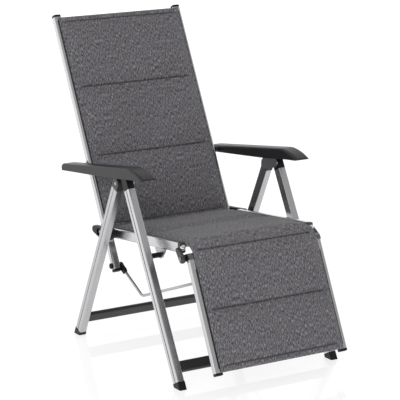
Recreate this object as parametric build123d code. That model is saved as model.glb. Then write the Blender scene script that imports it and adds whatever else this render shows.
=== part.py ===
"""Reclining garden armchair with a padded sling and a footrest that rises as the back goes down.

Millimetres, Z up, the floor at Z = 0. X runs across the chair, Y runs from the front to the
rear. The left side is the sitter's left, at +X. Points in the side plan are (y, z) pairs that
are counted from the front feet, and the finished chair is then moved so that its origin lies
under the middle of its bounding box.
"""
import os
from math import acos, atan2, cos, degrees, hypot, radians, sin, tan

from build123d import *

# Stance of the two leg frames
apex_height = 612.0
apex_setback = 70.856
front_leg_lean = 28.65
rear_leg_lean = 25.49
leg_skirt_gap = 9.0

# Leg tube
leg_width = 26.0
leg_depth = 36.0
leg_corner = 3.5
leg_wall = 2.6
leg_groove_width = 4.5
leg_groove_depth = 1.4
front_tube_drop = 8.23
rear_tube_gap = 21.0
plug_depth = 18.0

# Feet and the bars between the legs
foot_height = 20.0
foot_skin = 1.2
bar_height = 39.0
bar_depth = 18.0
bar_corner = 8.0
front_bar_rise = 70.0
rear_bar_rise = 74.0

# Leg heads, apex hinge and catch
head_length = 46.0
head_top_edge = 3.0
knuckle_radius = 19.0
apex_plate_thickness = 3.4
apex_plate_radius = 18.0
apex_pin_radius = 5.0
catch_pin_radius = 4.0
catch_pin_rise = 33.0
catch_pin_forward = 13.0
catch_ear_radius = 8.0

# Fits and gaps
running_gap = 0.08
body_gap = 0.3
fit_gap = 0.2

# Thin walled tubes of the seat, the back and the footrest
tube_wall = 1.8
cross_tube_radius = 9.0
cross_tube_forward = 3.0

# Seat rails, with the height of their middle and how their ends stand to it
seat_height = 430.5
seat_front_place = 80.0
seat_middle_share = 0.54861
seat_front_rise = 25.5
seat_rear_drop = 23.0
seat_rail_outset = 7.5
seat_rail_width = 21.0
seat_rail_depth = 36.0
seat_rail_corner = 6.0
seat_rail_end_wall = 3.0

# Seat pivot on the front legs
pivot_drop = 30.5
pivot_forward = 8.5
pivot_bolt_radius = 5.0
pivot_spacer_radius = 9.0
pivot_eye_radius = 13.0
pivot_plate_thickness = 5.0
pivot_plate_length = 70.0
pivot_plate_inset = 8.0
pivot_head_radius = 10.0
pivot_head_thickness = 6.0

# Rear brackets of the seat, with the back hinge and the saddle on the rear legs
hinge_behind_rail = 78.0
hinge_drop = 10.5
bracket_thickness = 18.0
bracket_front_radius = 18.0
bracket_rear_radius = 19.0
bracket_tail_length = 34.0
bracket_tail_radius = 13.0
bracket_edge = 3.0
bracket_recess_depth = 5.0
bracket_recess_inset = 6.0
back_pin_radius = 5.0
back_pin_head_radius = 9.0
back_pin_head_thickness = 3.0
rest_pin_radius = 6.0
rest_pin_length = 22.0
rest_pin_half_angle = 34.0
rest_pin_behind = 1.792

# Back frame
back_lean = 27.03
back_rail_pitch = 494.0
rail_width = 28.0
rail_depth = 25.0
rail_corner = 6.0
back_rail_up = 792.0
back_rail_down = 140.0
rail_cap_height = 9.0
rail_cap_edge = 3.0
back_top_tube_drop = 14.0
back_low_tube_rise = 60.0
back_low_tube_setback = 3.5
rod_pivot_drop = 127.0
arm_pivot_drop = 0.32

# Seat cross tubes
seat_tube_drop = 9.0
seat_front_tube_share = 0.16
seat_rear_tube_share = 0.88

# Footrest frame and its hinge
footrest_lean = 25.7
footrest_hinge_at = (-33.0, -30.0)
footrest_setback = 33.0
footrest_rail_start = 12.0
footrest_floor_gap = 82.56
footrest_tube_inset = 14.0
footrest_pin_radius = 5.0
footrest_barrel_radius = 11.5
footrest_pin_head_radius = 8.0
footrest_pin_head_thickness = 3.0
front_cheek_thickness = 9.0
front_cheek_radius = 16.0
front_cheek_neck_radius = 9.0
front_cheek_neck_drop = 8.0
front_cheek_gap = 3.0
nose_length = 14.0
rod_lug_thickness = 4.0
rod_lug_radius = 7.5
rod_eye_pivot_at = (-15.0, -85.0)

# Push rods
rod_radius = 5.0
rod_bend_at = (-150.284, -75.872)
rod_bend_radius = 34.0
rod_end_radius = 10.0
rod_eye_thickness = 4.0
rod_screw_head_radius = 7.0
rod_screw_head_thickness = 3.5
rod_clamp_length = 34.0
rod_clamp_width = 20.0
rod_clamp_thickness = 10.0
rod_bolt_radius = 4.0
rod_bolt_head_radius = 10.0
rod_bolt_head_thickness = 8.0

# Armrests, with the front points counted from the apex and the rear ones from the arm pivot
arm_rail_gap = 17.0
arm_width = 57.0
arm_wall = 4.0
arm_top_edge = 9.0
arm_lip_thickness = 7.0
arm_lip_at = (-208.2, 50.0)
arm_shoulder_at = (-167.2, 71.0)
arm_ridge_at = (-115.2, 77.0)
arm_ridge_round = 100.0
arm_tail_top_at = (71.5, 2.3)
arm_tail_low_at = (64.5, -20.5)
arm_tail_round = 14.0
arm_under_rear_at = (-2.5, -12.2)
arm_under_knee_at = (-0.2, 21.3)
arm_under_front_at = (-155.2, 44.0)
arm_pocket_inset = 25.0
arm_pocket_tail = 42.5
arm_boss_radius = 11.0
arm_bolt_radius = 5.0
arm_bolt_head_radius = 8.0
arm_bolt_head_thickness = 3.0
facing_share = 0.5

# Notched rack in the armrest, with one notch for each place of the back
rack_thickness = 4.0
rack_end_margin = 11.0
rack_notch_radius = 5.0
rack_notch_rise = 3.5
rack_notch_count = 5
rack_lift = 1.2

# Padded sling
sling_thickness = 3.0
seam_lift = 0.4
quilt_shoulder = 26.0
quilt_shoulder_drop = 3.5
quilt_crown = 11.0
quilt_belly = 5.5
quilt_side_extra = 2.0
shoulder_place_share = 0.32
shoulder_height_share = 0.62
back_pad_over_rail = 5.5
back_quilt_inset = 13.0
back_pad_start = 8.0
back_pad_end = 786.0
back_seams = (17.0, 268.0, 524.0, 762.0)
seat_quilt_inset = 18.0
seat_sheet_lift = 8.5
seat_pad_front = 18.0
seat_pad_rear = 48.0
seat_seam_share = 0.498
footrest_quilt_inset = 9.0
footrest_seams = (2.0, 186.0, 362.0)
nose_band_angle = 103.0

# Ranges of the joints, in degrees
leg_fold_range = 50.0
seat_lift_range = 12.0
back_recline_range = 38.0

# Values worked out from the sizes above
overrun = 2 * leg_depth
rail_x = back_rail_pitch / 2
rail_inner_x = rail_x - rail_width / 2
rail_outer_x = rail_x + rail_width / 2
arm_inner_half = rail_outer_x + arm_rail_gap
arm_outer_half = arm_inner_half + arm_width
arm_skirt_x = arm_inner_half + arm_wall
leg_x = arm_skirt_x + leg_skirt_gap + leg_width / 2
leg_inner_x = leg_x - leg_width / 2
leg_outer_x = leg_x + leg_width / 2
front_up = (sin(radians(front_leg_lean)), cos(radians(front_leg_lean)))
rear_up = (-sin(radians(rear_leg_lean)), cos(radians(rear_leg_lean)))
back_up = (sin(radians(back_lean)), cos(radians(back_lean)))
footrest_down = (-sin(radians(footrest_lean)), -cos(radians(footrest_lean)))
front_foot = (0.0, 0.0)
foot_spread = apex_setback + apex_height * (
    tan(radians(front_leg_lean)) + tan(radians(rear_leg_lean))
)
rear_foot = (foot_spread, 0.0)


def move(base, direction, distance, aside=0.0):
    """Return base moved along a side plan direction, and then to the direction's right.

    The right of an upward direction is the rear of the chair, and the right of the
    footrest's downward direction is its front.
    """
    return (
        base[0] + direction[0] * distance + direction[1] * aside,
        base[1] + direction[1] * distance - direction[0] * aside,
    )


def towards(start, end):
    """Return the side plan direction from one point to another."""
    length = hypot(end[0] - start[0], end[1] - start[1])
    return ((end[0] - start[0]) / length, (end[1] - start[1]) / length)


def leaned(centre, point, angle):
    """Return a side plan point turned rearwards about a centre by an angle in degrees."""
    y = point[0] - centre[0]
    z = point[1] - centre[1]
    c = cos(radians(angle))
    s = sin(radians(angle))
    return (centre[0] + y * c + z * s, centre[1] - y * s + z * c)


def beside(base, offset):
    """Return a side plan point by its offset from a base point."""
    return (base[0] + offset[0], base[1] + offset[1])


apex = move(rear_foot, rear_up, apex_height / cos(radians(rear_leg_lean)))
front_leg_length = (apex_height - front_tube_drop) / cos(radians(front_leg_lean))
seat_rail_x = rail_x + seat_rail_outset
seat_rail_inner_x = seat_rail_x - seat_rail_width / 2
seat_rail_outer_x = seat_rail_x + seat_rail_width / 2
seat_rear_height = seat_height - seat_rear_drop
bracket_low_z = seat_rear_height - bracket_front_radius
rest_reach = (rest_pin_radius + body_gap) * cos(radians(rest_pin_half_angle))
rest_height = bracket_low_z - rest_reach
rest_pin_at = move(rear_foot, rear_up, rest_height / cos(radians(rear_leg_lean)))
seat_rail_front = (seat_front_place, seat_height + seat_front_rise)
seat_rail_rear = (rest_pin_at[0] - rest_pin_behind, seat_rear_height)
seat_length = seat_rail_rear[0] - seat_front_place
seat_rail_middle = (seat_front_place + seat_middle_share * seat_length, seat_height)
back_hinge = beside(seat_rail_rear, (hinge_behind_rail, -hinge_drop))
arm_pivot_reach = apex_height - arm_pivot_drop - back_hinge[1]
arm_pivot = move(back_hinge, back_up, arm_pivot_reach / cos(radians(back_lean)))
rod_pivot = move(back_hinge, back_up, -rod_pivot_drop)
rod_bend = beside(rod_pivot, rod_bend_at)
footrest_hinge = beside(seat_rail_front, footrest_hinge_at)
rod_eye_pivot = beside(footrest_hinge, rod_eye_pivot_at)
pivot_height = seat_height - pivot_drop
seat_pivot = (pivot_height * tan(radians(front_leg_lean)) - pivot_forward, pivot_height)
bracket_outer_x = seat_rail_outer_x + bracket_thickness
footrest_foot = move(footrest_hinge, footrest_down, 0.0, footrest_setback)
footrest_axis = move(footrest_foot, footrest_down, 0.0, -rail_depth / 2)
footrest_length = (footrest_axis[1] - footrest_floor_gap) / cos(radians(footrest_lean))
head_top = move(front_foot, front_up, front_leg_length + head_length)
catch_pin_at = (apex[0] - catch_pin_forward, apex[1] + catch_pin_rise)
pivot_plate_inner_x = seat_rail_inner_x + pivot_plate_inset
pivot_plate_outer_x = pivot_plate_inner_x + pivot_plate_thickness
rod_x = rail_inner_x - rod_lug_thickness - body_gap - rod_eye_thickness / 2
cheek_outer_x = seat_rail_outer_x + front_cheek_thickness
back_top_tube_at = move(
    back_hinge, back_up, back_rail_up - back_top_tube_drop, -cross_tube_forward
)
back_low_tube_at = move(back_hinge, back_up, back_low_tube_rise, back_low_tube_setback)
footrest_tube_at = move(
    footrest_axis, footrest_down, footrest_length - footrest_tube_inset, cross_tube_forward
)


arm_lip = beside(apex, arm_lip_at)
arm_shoulder = beside(apex, arm_shoulder_at)
arm_ridge = beside(apex, arm_ridge_at)
arm_under_front = beside(apex, arm_under_front_at)
arm_under_knee = beside(apex, arm_under_knee_at)
arm_under_rear = beside(arm_pivot, arm_under_rear_at)
arm_tail_top = beside(arm_pivot, arm_tail_top_at)
arm_tail_low = beside(arm_pivot, arm_tail_low_at)
arm_pocket_front = arm_lip[0] + arm_pocket_inset
arm_pocket_rear = arm_pivot[0] + arm_pocket_tail
back_pad_half_width = rail_x + back_pad_over_rail
back_quilt_half_width = rail_inner_x - back_quilt_inset
seat_quilt_half_width = seat_rail_inner_x - seat_quilt_inset
footrest_quilt_half_width = rail_inner_x - footrest_quilt_inset
seat_pad_start = seat_rail_front[0] - seat_pad_front
seat_pad_end = seat_rail_rear[0] + seat_pad_rear
seat_middle_seam = seat_pad_start + seat_seam_share * (seat_pad_end - seat_pad_start)
seat_seams = (seat_pad_start, seat_middle_seam, seat_pad_end)


def side_sketch(shape, x_low):
    """Lay a sketch drawn in (y, z) on the side plan at a place across the chair."""
    return Plane.YZ.offset(x_low) * shape


def slab(shape, x_low, x_high):
    """Extrude a side plan sketch across the chair between two places."""
    return extrude(side_sketch(shape, x_low), x_high - x_low)


def disc(centre, radius, x_low, x_high):
    """Make a round piece whose axis runs across the chair."""
    return slab(Pos(*centre) * Circle(radius), x_low, x_high)


def across(centre, direction, x_place):
    """Return the plane whose normal runs along a side plan direction, with x across the chair."""
    return Plane(
        origin=(x_place, centre[0], centre[1]),
        x_dir=(1, 0, 0),
        z_dir=(0, direction[0], direction[1]),
    )


def rounded(width, depth, corner, wall=0.0):
    """Return a rounded section, with the inside of a tube left out where it has a wall."""
    section = RectangleRounded(width, depth, corner)
    if wall > 0:
        section -= RectangleRounded(width - 2 * wall, depth - 2 * wall, corner - wall)
    return section


def bar(start, direction, length, x_place, section):
    """Extrude a section along a side plan direction."""
    return extrude(across(start, direction, x_place) * section, length)


def mirrored(shape):
    """Return the same shape on the other side of the chair."""
    return mirror(shape, about=Plane.YZ)


def both(shape):
    """Return a left piece and its right twin as one group."""
    return Compound(children=[shape, mirrored(shape)])


def web(first, first_radius, second, second_radius):
    """Return the outline that wraps two circles in the side plan."""
    edges = [
        Pos(*first) * Edge.make_circle(first_radius),
        Pos(*second) * Edge.make_circle(second_radius),
    ]
    return make_hull(edges)


def outer_edges(body):
    """Return the edges of a body's outermost face."""
    return body.faces().sort_by(Axis.X)[-1].edges()


def leg_section():
    """Return a leg's section with the groove along its outer face."""
    section = rounded(leg_width, leg_depth, leg_corner, leg_wall)
    groove = Rectangle(leg_groove_depth, leg_groove_width, align=(Align.MAX, Align.CENTER))
    return section - Pos(leg_width / 2, 0) * groove


def leg(foot, direction, top_distance):
    """Return a leg tube from its foot to its head."""
    start = move(foot, direction, foot_height)
    return bar(start, direction, top_distance - foot_height, leg_x, leg_section())


def plug(end, direction, length, x_place, width, depth, corner, wall):
    """Return the plug that fits inside the end of a tube."""
    shrink = wall + fit_gap
    section = rounded(width - 2 * shrink, depth - 2 * shrink, corner - shrink)
    return bar(end, direction, length, x_place, section)


def leg_plug(end, direction, length):
    """Return the plug that fits inside the end of a leg tube."""
    return plug(end, direction, length, leg_x, leg_width, leg_depth, leg_corner, leg_wall)


def foot_cap(foot, direction):
    """Return a foot with a sole flat on the floor and a plug in the tube."""
    skin = 2 * foot_skin
    outer = rounded(leg_width + skin, leg_depth + skin, leg_corner + foot_skin)
    start = move(foot, direction, -foot_height)
    sleeve = bar(start, direction, 2 * foot_height, leg_x, outer)
    sleeve += leg_plug(move(foot, direction, foot_height), direction, plug_depth)
    return split(sleeve, bisect_by=Plane.XY, keep=Keep.TOP)


def crossbar(foot, direction, rise):
    """Return the flat oval tube that joins the two legs of one frame."""
    centre = move(foot, direction, rise)
    plane = Plane(
        origin=(-leg_inner_x, centre[0], centre[1]),
        x_dir=(0, direction[0], direction[1]),
        z_dir=(1, 0, 0),
    )
    section = rounded(bar_height, bar_depth, bar_corner, tube_wall)
    return extrude(plane * section, 2 * leg_inner_x)


def front_head():
    """Return the block in the top of a front leg."""
    top = move(front_foot, front_up, front_leg_length)
    block = bar(top, front_up, head_length, leg_x, rounded(leg_width, leg_depth, leg_corner))
    block = fillet(block.faces().sort_by(Axis.Z)[-1].edges(), head_top_edge)
    return block + leg_plug(top, front_up, -plug_depth)


def rear_knuckle():
    """Return the round head of a rear leg with its neck and plug."""
    top = move(apex, rear_up, -rear_tube_gap)
    body = bar(top, rear_up, rear_tube_gap, leg_x, Rectangle(leg_width, leg_depth))
    body += disc(apex, knuckle_radius, leg_inner_x, leg_outer_x)
    body += leg_plug(top, rear_up, -plug_depth)
    bore = apex_pin_radius + running_gap
    return body - disc(apex, bore, leg_inner_x - overrun, leg_outer_x + overrun)


def apex_plate():
    """Return the plate on a front leg's inner face that carries the apex hinge and the catch."""
    low = leg_inner_x - apex_plate_thickness
    high = leg_inner_x - body_gap
    head_end = move(head_top, front_up, -knuckle_radius)
    plate = slab(web(apex, knuckle_radius, head_end, apex_plate_radius), low, high)
    plate += slab(web(apex, apex_plate_radius, catch_pin_at, catch_ear_radius), low, high)
    plate -= disc(apex, apex_pin_radius, low - overrun, leg_outer_x)
    return plate - disc(catch_pin_at, catch_pin_radius, low - overrun, leg_outer_x)


def apex_pin():
    """Return the pin that the two legs of one side turn on."""
    return disc(apex, apex_pin_radius, leg_inner_x - apex_plate_thickness, leg_outer_x)


def catch_pin():
    """Return the pin on the apex plate that a notch of the armrest's rack drops onto."""
    low = arm_skirt_x + body_gap
    return disc(catch_pin_at, catch_pin_radius, low, leg_inner_x - body_gap)


def pivot_spacer():
    """Return the sleeve between a front leg and the seat's pivot plate."""
    sleeve = disc(seat_pivot, pivot_spacer_radius, pivot_plate_outer_x + body_gap, leg_inner_x)
    return sleeve - disc(seat_pivot, pivot_bolt_radius, pivot_plate_inner_x, leg_outer_x)


def pivot_bolt():
    """Return the bolt that the seat swings on, with its round head on the inside."""
    head_face = pivot_plate_inner_x - body_gap
    head_low = head_face - pivot_head_thickness
    bolt = disc(seat_pivot, pivot_bolt_radius, head_low, leg_inner_x)
    return bolt + disc(seat_pivot, pivot_head_radius, head_low, head_face)


def rest_pin():
    """Return the pin on a rear leg that the seat's rear bracket sits on."""
    return disc(rest_pin_at, rest_pin_radius, leg_inner_x - rest_pin_length, leg_inner_x)


def seat_rail_path():
    """Return the bowed centre line of a seat rail."""
    places = (seat_rail_front, seat_rail_middle, seat_rail_rear)
    return ThreePointArc(*[(seat_rail_x, *place) for place in places])


def bow_circle():
    """Return the centre and the radius of the bow of the seat rails in the side plan."""
    ay, az = seat_rail_front
    by, bz = seat_rail_middle
    cy, cz = seat_rail_rear
    a_square = ay * ay + az * az
    b_square = by * by + bz * bz
    c_square = cy * cy + cz * cz
    scale = 2 * (ay * (bz - cz) + by * (cz - az) + cy * (az - bz))
    centre_y = (a_square * (bz - cz) + b_square * (cz - az) + c_square * (az - bz)) / scale
    centre_z = (a_square * (cy - by) + b_square * (ay - cy) + c_square * (by - ay)) / scale
    return (centre_y, centre_z), hypot(ay - centre_y, az - centre_z)


def on_bow(y, lift):
    """Return the place at y on the seat's bowed line, lifted square to that line."""
    centre, radius = bow_circle()
    upper = 1 if centre[1] < seat_rail_middle[1] else -1
    angle = atan2(upper * (radius**2 - (y - centre[0]) ** 2) ** 0.5, y - centre[0])
    reach = radius + upper * lift
    return (centre[0] + reach * cos(angle), centre[1] + reach * sin(angle))


def seat_rail_sweep(section):
    """Sweep a section along the bowed line of a seat rail."""
    path = seat_rail_path()
    plane = Plane(origin=path @ 0, x_dir=(1, 0, 0), z_dir=path % 0)
    return sweep(plane * section, path=path)


def seat_rail():
    """Return a seat rail as a bowed hollow tube."""
    section = rounded(seat_rail_width, seat_rail_depth, seat_rail_corner, tube_wall)
    return seat_rail_sweep(section)


def seat_rail_space():
    """Return the space that a seat rail takes up."""
    return seat_rail_sweep(rounded(seat_rail_width, seat_rail_depth, seat_rail_corner))


def rail_at(share):
    """Return the (y, z) place on the seat rail's centre line at a share of its length."""
    point = seat_rail_path() @ share
    return (point.Y, point.Z)


def rail_end_direction(share):
    """Return the side plan direction of the seat rail's centre line at a share of its length."""
    tangent = seat_rail_path() % share
    return (tangent.Y, tangent.Z)


def pivot_plate():
    """Return the plate that hangs from a seat rail and turns on the pivot bolt."""
    rail_point = (seat_pivot[0], seat_rail_middle[1])
    outline = web(seat_pivot, pivot_eye_radius, rail_point, pivot_plate_length / 2)
    plate = slab(outline, pivot_plate_inner_x, pivot_plate_outer_x) - seat_rail_space()
    lowest = plate.solids().sort_by(Axis.Z)[0]
    return lowest - disc(seat_pivot, pivot_bolt_radius + running_gap, 0, leg_outer_x)


def rear_bracket():
    """Return the moulded bracket at a seat rail's rear end, with the saddle for the rest pin."""
    tail = (back_hinge[0] + bracket_tail_length, back_hinge[1] + bracket_edge)
    outline = web(seat_rail_rear, bracket_front_radius, back_hinge, bracket_rear_radius)
    outline += web(back_hinge, bracket_rear_radius, tail, bracket_tail_radius)
    body = slab(outline, seat_rail_outer_x, bracket_outer_x)
    body = fillet(outer_edges(body), bracket_edge)
    inset = web(
        seat_rail_rear,
        bracket_front_radius - bracket_recess_inset,
        back_hinge,
        bracket_rear_radius - bracket_recess_inset,
    )
    body -= slab(inset, bracket_outer_x - bracket_recess_depth, bracket_outer_x + overrun)
    end_wall = rounded(seat_rail_width, seat_rail_depth, seat_rail_corner)
    body += bar(
        seat_rail_rear, rail_end_direction(1), seat_rail_end_wall, seat_rail_x, end_wall
    )
    body -= disc(back_hinge, back_pin_radius, 0, bracket_outer_x + overrun)
    return body - disc(rest_pin_at, rest_pin_radius + body_gap, 0, leg_inner_x)


def back_pin():
    """Return the pin that a back rail turns on."""
    low = rail_inner_x - body_gap - back_pin_head_thickness
    pin = disc(back_hinge, back_pin_radius, low, bracket_outer_x - bracket_recess_depth)
    return pin + disc(back_hinge, back_pin_head_radius, low, rail_inner_x - body_gap)


def nose_direction():
    """Return the side plan direction that a seat rail's nose points in."""
    tangent = rail_end_direction(0)
    return (-tangent[0], -tangent[1])


def front_fitting():
    """Return the nose of a seat rail with the cheek that carries the footrest."""
    section = rounded(seat_rail_width, seat_rail_depth, seat_rail_corner)
    nose = bar(seat_rail_front, nose_direction(), nose_length, seat_rail_x, section)
    nose -= disc(footrest_hinge, footrest_barrel_radius + front_cheek_gap, 0, seat_rail_outer_x)
    nose_centre = move(seat_rail_front, nose_direction(), nose_length / 2)
    neck = (nose_centre[0], nose_centre[1] - front_cheek_neck_drop)
    outline = web(footrest_hinge, front_cheek_radius, neck, front_cheek_neck_radius)
    cheek = slab(outline, seat_rail_outer_x, cheek_outer_x)
    cheek = fillet(outer_edges(cheek), bracket_edge)
    return nose + cheek - disc(footrest_hinge, footrest_pin_radius, 0, leg_outer_x)


def front_dome():
    """Return the polished dome on the nose of a seat rail."""
    centre = move(seat_rail_front, nose_direction(), nose_length)
    ball = Pos(seat_rail_x, *centre) * Sphere(seat_rail_width / 2)
    return split(ball, bisect_by=across(centre, nose_direction(), seat_rail_x), keep=Keep.TOP)


def footrest_pin():
    """Return the pin that the footrest turns on, with its head on the outside."""
    pin = disc(footrest_hinge, footrest_pin_radius, rail_inner_x - rod_lug_thickness, cheek_outer_x)
    head_high = cheek_outer_x + footrest_pin_head_thickness
    return pin + disc(footrest_hinge, footrest_pin_head_radius, cheek_outer_x, head_high)


def hollow_cross(centre, half_length):
    """Return a round tube that runs across the chair."""
    tube = disc(centre, cross_tube_radius, -half_length, half_length)
    return tube - disc(centre, cross_tube_radius - tube_wall, -half_length, half_length)


def seat_tube(share):
    """Return a tube that joins the two seat rails under the sling."""
    centre = rail_at(share)
    return hollow_cross((centre[0], centre[1] - seat_tube_drop), seat_rail_inner_x)


def rail(start, direction, length):
    """Return a hollow rail of the back or the footrest."""
    section = rounded(rail_width, rail_depth, rail_corner, tube_wall)
    return bar(start, direction, length, rail_x, section)


def rail_plug(end, direction, length):
    """Return the plug that fits inside the end of a rail."""
    return plug(end, direction, length, rail_x, rail_width, rail_depth, rail_corner, tube_wall)


def rail_cap(end, direction):
    """Return the moulded cap in the end of a rail."""
    section = rounded(rail_width, rail_depth, rail_corner)
    cap = bar(end, direction, rail_cap_height, rail_x, section)
    along = Axis((0, end[0], end[1]), (0, direction[0], direction[1]))
    top = cap.faces().sort_by(along)[-1]
    return fillet(top.edges(), rail_cap_edge) + rail_plug(end, direction, -plug_depth)


def back_rail():
    """Return a back rail from its lower end to its top, bored for its three pivots."""
    start = move(back_hinge, back_up, -back_rail_down)
    tube = rail(start, back_up, back_rail_down + back_rail_up)
    tube -= disc(back_hinge, back_pin_radius + running_gap, 0, leg_outer_x)
    tube -= disc(arm_pivot, arm_bolt_radius, 0, leg_outer_x)
    return tube - disc(rod_pivot, rod_bolt_radius, 0, leg_outer_x)


def arm_bolt():
    """Return the bolt that joins an armrest to a back rail."""
    low = rail_inner_x - arm_bolt_head_thickness
    washer_low = arm_skirt_x + body_gap
    washer_high = washer_low + arm_bolt_head_thickness
    bolt = disc(arm_pivot, arm_bolt_radius, low, washer_high)
    bolt += disc(arm_pivot, arm_bolt_head_radius, low, rail_inner_x)
    return bolt + disc(arm_pivot, arm_bolt_head_radius, washer_low, washer_high)


def rod_bolt():
    """Return the bolt at the lower end of a back rail that drives a push rod."""
    clamp_low = rail_inner_x - body_gap - rod_clamp_thickness
    high = clamp_low - body_gap
    low = high - rod_screw_head_thickness
    knob_high = rail_outer_x + rod_bolt_head_thickness
    bolt = disc(rod_pivot, rod_bolt_radius, low, knob_high)
    bolt += disc(rod_pivot, rod_screw_head_radius, low, high)
    knob = disc(rod_pivot, rod_bolt_head_radius, rail_outer_x, knob_high)
    return bolt + fillet(outer_edges(knob), bracket_edge)


def footrest_rail():
    """Return a rail of the footrest."""
    start = move(footrest_axis, footrest_down, footrest_rail_start)
    return rail(start, footrest_down, footrest_length - footrest_rail_start)


def footrest_fitting():
    """Return the crank that joins a footrest rail to the hinge pin."""
    start = move(footrest_axis, footrest_down, footrest_rail_start)
    crank_end = move(start, footrest_down, -footrest_barrel_radius)
    outline = web(footrest_hinge, footrest_barrel_radius, crank_end, footrest_barrel_radius)
    crank = slab(outline, rail_inner_x, rail_outer_x)
    section = Rectangle(rail_width, rail_depth)
    crank += bar(start, footrest_down, -footrest_barrel_radius, rail_x, section)
    crank += rail_plug(start, footrest_down, plug_depth)
    return crank - disc(footrest_hinge, footrest_pin_radius + running_gap, 0, leg_outer_x)


def rod_lug():
    """Return the ear on a footrest rail's inner face beside the push rod's eye."""
    drop = rod_eye_pivot[1] - footrest_axis[1]
    root = move(footrest_axis, footrest_down, drop / footrest_down[1])
    outline = web(rod_eye_pivot, rod_lug_radius, root, rod_lug_radius)
    return slab(outline, rail_inner_x - rod_lug_thickness, rail_inner_x)


def push_rod():
    """Return a push rod, bent under the seat, with a flat eye at the footrest."""
    start = (rod_x, *rod_pivot)
    end = (rod_x, *rod_eye_pivot)
    path = FilletPolyline(start, (rod_x, *rod_bend), end, radius=rod_bend_radius)
    rod = sweep(Plane(origin=path @ 0, z_dir=path % 0) * Circle(rod_radius), path=path)
    rod -= disc(rod_eye_pivot, rod_end_radius, rod_x - overrun, rod_x + overrun)
    rod -= disc(rod_pivot, rod_clamp_width / 2, rod_x - overrun, rod_x + overrun)
    eye_low = rod_x - rod_eye_thickness / 2
    rod += disc(rod_eye_pivot, rod_end_radius, eye_low, eye_low + rod_eye_thickness)
    screw_low = eye_low - rod_screw_head_thickness
    return rod + disc(rod_eye_pivot, rod_screw_head_radius, screw_low, eye_low)


def rod_clamp(rod):
    """Return the moulded clamp that holds a push rod on its bolt."""
    high = rail_inner_x - body_gap
    tip = move(rod_pivot, towards(rod_pivot, rod_bend), rod_clamp_length)
    outline = web(rod_pivot, rod_clamp_width / 2, tip, rod_clamp_width / 2)
    clamp = slab(outline, high - rod_clamp_thickness, high) - rod
    return clamp - disc(rod_pivot, rod_bolt_radius + running_gap, 0, leg_outer_x)


def arm_outline():
    """Return the side outline of an armrest, from its front lip to its rounded tail."""
    lip_top = (arm_lip[0], arm_lip[1] + arm_lip_thickness)
    edges = [
        ThreePointArc(lip_top, arm_shoulder, arm_ridge),
        Line(arm_ridge, arm_tail_top),
        Line(arm_tail_top, arm_tail_low),
        Line(arm_tail_low, arm_under_rear),
        Line(arm_under_rear, arm_under_knee),
        Line(arm_under_knee, arm_under_front),
        Line(arm_under_front, arm_lip),
        Line(arm_lip, lip_top),
    ]
    outline = Sketch() + make_face(edges)
    ridge = outline.vertices().sort_by_distance((*arm_ridge, 0))[0]
    outline = fillet(ridge, arm_ridge_round)
    tail = outline.vertices().sort_by_distance((*arm_tail_top, 0))[0]
    return fillet(tail, arm_tail_round)


def top_side_edges(body):
    """Return the long edges on the two sides of a body's upper faces."""
    edges = []
    for face in body.faces():
        normal = face.normal_at()
        if abs(normal.X) < facing_share and min(normal.Y, normal.Z) > -facing_share:
            edges += face.edges().filter_by(Axis.X, reverse=True)
    return edges


def arm_pocket_outline():
    """Return the outline of the hollow under an armrest, one wall below its top."""
    middle = (arm_pocket_front + arm_pocket_rear) / 2
    height = 2 * (arm_ridge[1] - arm_tail_low[1])
    band = Pos(middle, arm_under_knee[1]) * Rectangle(arm_pocket_rear - arm_pocket_front, height)
    return Pos(0, -arm_wall) * arm_outline() & band


def armrest():
    """Return an armrest as a moulded shell, open below, with the boss of its pivot."""
    shell = slab(arm_outline(), arm_inner_half, arm_outer_half)
    shell = fillet(top_side_edges(shell), arm_top_edge)
    shell -= slab(arm_pocket_outline(), arm_skirt_x, arm_outer_half - arm_wall)
    shell += disc(arm_pivot, arm_boss_radius, rail_outer_x + body_gap, arm_skirt_x)
    return shell - disc(arm_pivot, arm_bolt_radius + running_gap, 0, arm_skirt_x)


def arm_turn():
    """Return how far an armrest turns rearwards as the back goes through its whole range.

    The catch pin stands as high in the armrest at the end of the range as it does at rest.
    """
    run = towards(arm_under_knee, arm_under_rear)
    pivot = leaned(back_hinge, arm_pivot, back_recline_range)
    rest_reach = (catch_pin_at[0] - arm_pivot[0], catch_pin_at[1] - arm_pivot[1])
    end_reach = (catch_pin_at[0] - pivot[0], catch_pin_at[1] - pivot[1])
    height = rest_reach[1] * run[0] - rest_reach[0] * run[1]
    end_angle = atan2(-end_reach[0] * run[0] - end_reach[1] * run[1],
                      end_reach[1] * run[0] - end_reach[0] * run[1])
    return degrees(acos(height / hypot(*end_reach)) - end_angle)


def catch_place(share):
    """Return where the catch pin stands in the armrest at a share of the back's range."""
    pivot = leaned(back_hinge, arm_pivot, share * back_recline_range)
    turned = leaned(pivot, catch_pin_at, -share * arm_turn())
    return (turned[0] - pivot[0] + arm_pivot[0], turned[1] - pivot[1] + arm_pivot[1])


def armrest_rack():
    """Return the notched plate on the inner skirt of an armrest."""
    places = [catch_place(step / (rack_notch_count - 1)) for step in range(rack_notch_count)]
    tip_rise = catch_pin_radius + rack_lift
    lower = [(place[0], place[1] + tip_rise) for place in places]
    rear = (lower[0][0] + rack_end_margin, lower[0][1])
    front = (lower[-1][0] - rack_end_margin, lower[-1][1])
    above = arm_ridge[1]
    border = Polyline(rear, *lower, front, (front[0], above), (rear[0], above), close=True)
    plate = make_face(border) & arm_pocket_outline()
    for place in places:
        plate -= Pos(place[0], place[1] + rack_notch_rise) * Circle(rack_notch_radius)
    return slab(plate, arm_skirt_x, arm_skirt_x + rack_thickness)


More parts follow.
